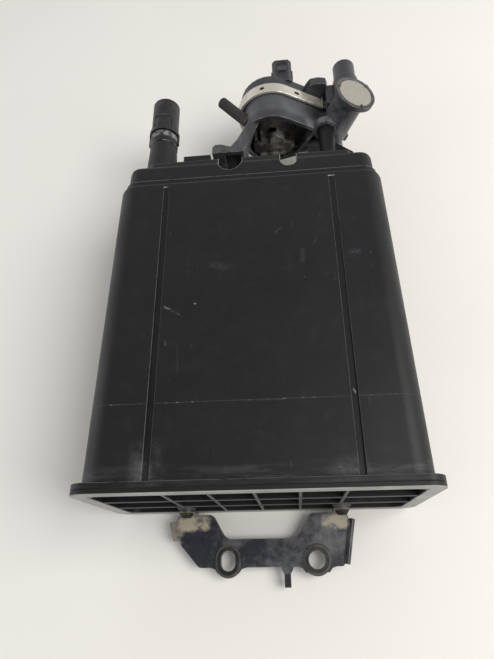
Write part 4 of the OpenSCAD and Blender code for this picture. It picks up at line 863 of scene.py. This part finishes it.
class CANISTER_OT_inside(bpy.types.Operator):
    """Finish the pieces that the case and the valve hold inside"""

    bl_idname = "canister.inside"
    bl_label = "Inner pieces"

    def execute(self, context):
        colours = context.scene.canister_colours
        dress(["carbon_bed_main", "carbon_bed_vent"], charcoal_granules("activated_charcoal"))
        felts = [f"{end}_filter_{bed}" for end in ("top", "bottom") for bed in ("main", "vent")]
        dress(felts, pressed_felt("bed_felt", "#d5d2c8", 1.4))
        plate = moulded_nylon("moulded_plate_nylon", "#3a3a3d", "#88888b", colours.dust, 0.1)
        dress(["pressure_plate_main", "pressure_plate_vent"], plate.done())
        steel = drawn_steel("drawn_spring_steel", "#a5a6a8", 0.3)
        dress([f"plate_spring_{side}" for side in ("left", "middle", "right")], steel)
        squeezed_spring("return_spring", "valve_spring", steel)
        dress(["pole_piece", "valve_plunger"], drawn_steel("turned_soft_iron", "#8e9094", 0.33))
        rubber = moulded_rubber("nitrile_rubber", colours.rubber, "#4a4a4c", 0.2)
        dress(["front_o_ring", "rear_o_ring", "spigot_o_ring", "module_seal", "valve_seal"], rubber)
        natural = moulded_nylon("natural_nylon", "#d3ccb9", "#e6e1d4", colours.dust, 0.1)
        dress(["coil_bobbin", "o_ring_spacer"], natural.done())
        dress(["coil_winding"], wound_copper("enamelled_copper_wire"))
        dress(["connector_terminals"], tinned_brass("tinned_brass"))
        return {"FINISHED"}


def area_lamp(name, power, place, target, size, colour):
    """A square lamp of a power and size at a place, turned to a target, in metres."""
    data = bpy.data.lights.new(name, "AREA")
    data.size = size
    data.energy = power
    data.color = linear(colour)[:3]
    made = bpy.data.objects.new(name, data)
    made.location = place
    made.rotation_mode = "QUATERNION"
    made.rotation_quaternion = (Vector(target) - Vector(place)).to_track_quat("-Z", "Y")
    bpy.context.scene.collection.objects.link(made)


def soft_sky(stage):
    """An even sky, white near the floor and dimmer overhead, the same for the camera and for reflections."""
    world = bpy.data.worlds.new("soft_sky")
    world.use_nodes = True
    tree = world.node_tree
    tree.nodes.clear()
    way = add_node(tree, "TexCoord", out="Generated")
    height = add_node(tree, "SeparateXYZ", {"Vector": way}, out="Z")
    strength = add_node(tree, "MapRange", {
        "Value": height, "From Min": 0.0, "From Max": SKY_TOP,
        "To Min": stage.sky_low, "To Max": stage.sky_high}, interpolation_type="SMOOTHSTEP")
    sky = add_node(tree, "Background", {"Color": linear(SKY_COLOUR), "Strength": strength})
    add_node(tree, "OutputWorld", {"Surface": sky})
    bpy.context.scene.world = world


def photo_camera():
    """The camera at the photograph's viewing angle: its axes are right, up and back."""
    forward, right = Vector(CAMERA_FORWARD), Vector(CAMERA_RIGHT)
    up = right.cross(forward)
    turn = Matrix((right, up, -forward)).transposed().to_4x4()
    data = bpy.data.cameras.new("photo_camera")
    data.sensor_width = CAMERA_SENSOR
    data.lens = CAMERA_LENS
    data.clip_start = CAMERA_NEAR
    made = bpy.data.objects.new("photo_camera", data)
    made.matrix_world = Matrix.Translation(Vector(CAMERA_PLACE) * MM) @ turn
    bpy.context.scene.collection.objects.link(made)
    bpy.context.scene.camera = made


def pale_floor(colour):
    """A wide square floor at the height that the flange rests on, faintly clouded like matt card."""
    finish = Finish("pale_matt_floor", colour, 0.75)
    finish.lay(finish.patches(320, 0.3, 0.7, detail=2), "#c9c6c0", 0.12)
    reach = np.array([-FLOOR_REACH, FLOOR_REACH])
    x, y = np.meshgrid(reach, reach, indexing="xy")
    mesh = grid_mesh("floor", np.stack([x, y, np.zeros_like(x)], 2), finish.done())
    floor = bpy.data.objects.new("floor", mesh)
    bpy.context.scene.collection.objects.link(floor)


class CANISTER_OT_stage(bpy.types.Operator):
    """Set the floor, the lamps, the sky and the camera"""

    bl_idname = "canister.stage"
    bl_label = "Stage"

    def execute(self, context):
        stage = context.scene.canister_stage
        pale_floor(stage.floor)
        area_lamp("key_lamp", stage.key_power, *KEY_LAMP)
        area_lamp("fill_lamp", stage.fill_power, *FILL_LAMP)
        soft_sky(stage)
        context.scene.view_settings.view_transform = "Standard"
        photo_camera()
        return {"FINISHED"}


class CANISTER_PT_panel(bpy.types.Panel):
    """Lists the canister's finishing steps"""

    bl_idname = "CANISTER_PT_panel"
    bl_label = "Charcoal canister"
    bl_space_type = "VIEW_3D"
    bl_region_type = "UI"
    bl_category = "Canister"

    def draw(self, context):
        for step in STEPS:
            self.layout.operator(step.bl_idname)


GROUPS = {
    "canister_sizes": CanisterSizes,
    "canister_colours": CanisterColours,
    "canister_stage": CanisterStage,
}
STEPS = (
    CANISTER_OT_stage,
    CANISTER_OT_case,
    CANISTER_OT_bracket,
    CANISTER_OT_port,
    CANISTER_OT_valve,
    CANISTER_OT_inside,
)


def register():
    """Registers the groups, operators and panel, and hangs the groups on the scene."""
    for group in GROUPS.values():
        bpy.utils.register_class(group)
    for name, group in GROUPS.items():
        setattr(bpy.types.Scene, name, bpy.props.PointerProperty(type=group))
    for kind in (*STEPS, CANISTER_PT_panel):
        bpy.utils.register_class(kind)


def unregister():
    """Takes back what register did."""
    for kind in (CANISTER_PT_panel, *reversed(STEPS)):
        bpy.utils.unregister_class(kind)
    for name, group in GROUPS.items():
        delattr(bpy.types.Scene, name)
        bpy.utils.unregister_class(group)


def main():
    """Registers the add-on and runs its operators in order."""
    register()
    for step in STEPS:
        space, name = step.bl_idname.split(".")
        getattr(getattr(bpy.ops, space), name)()


if __name__ == "__main__":
    main()
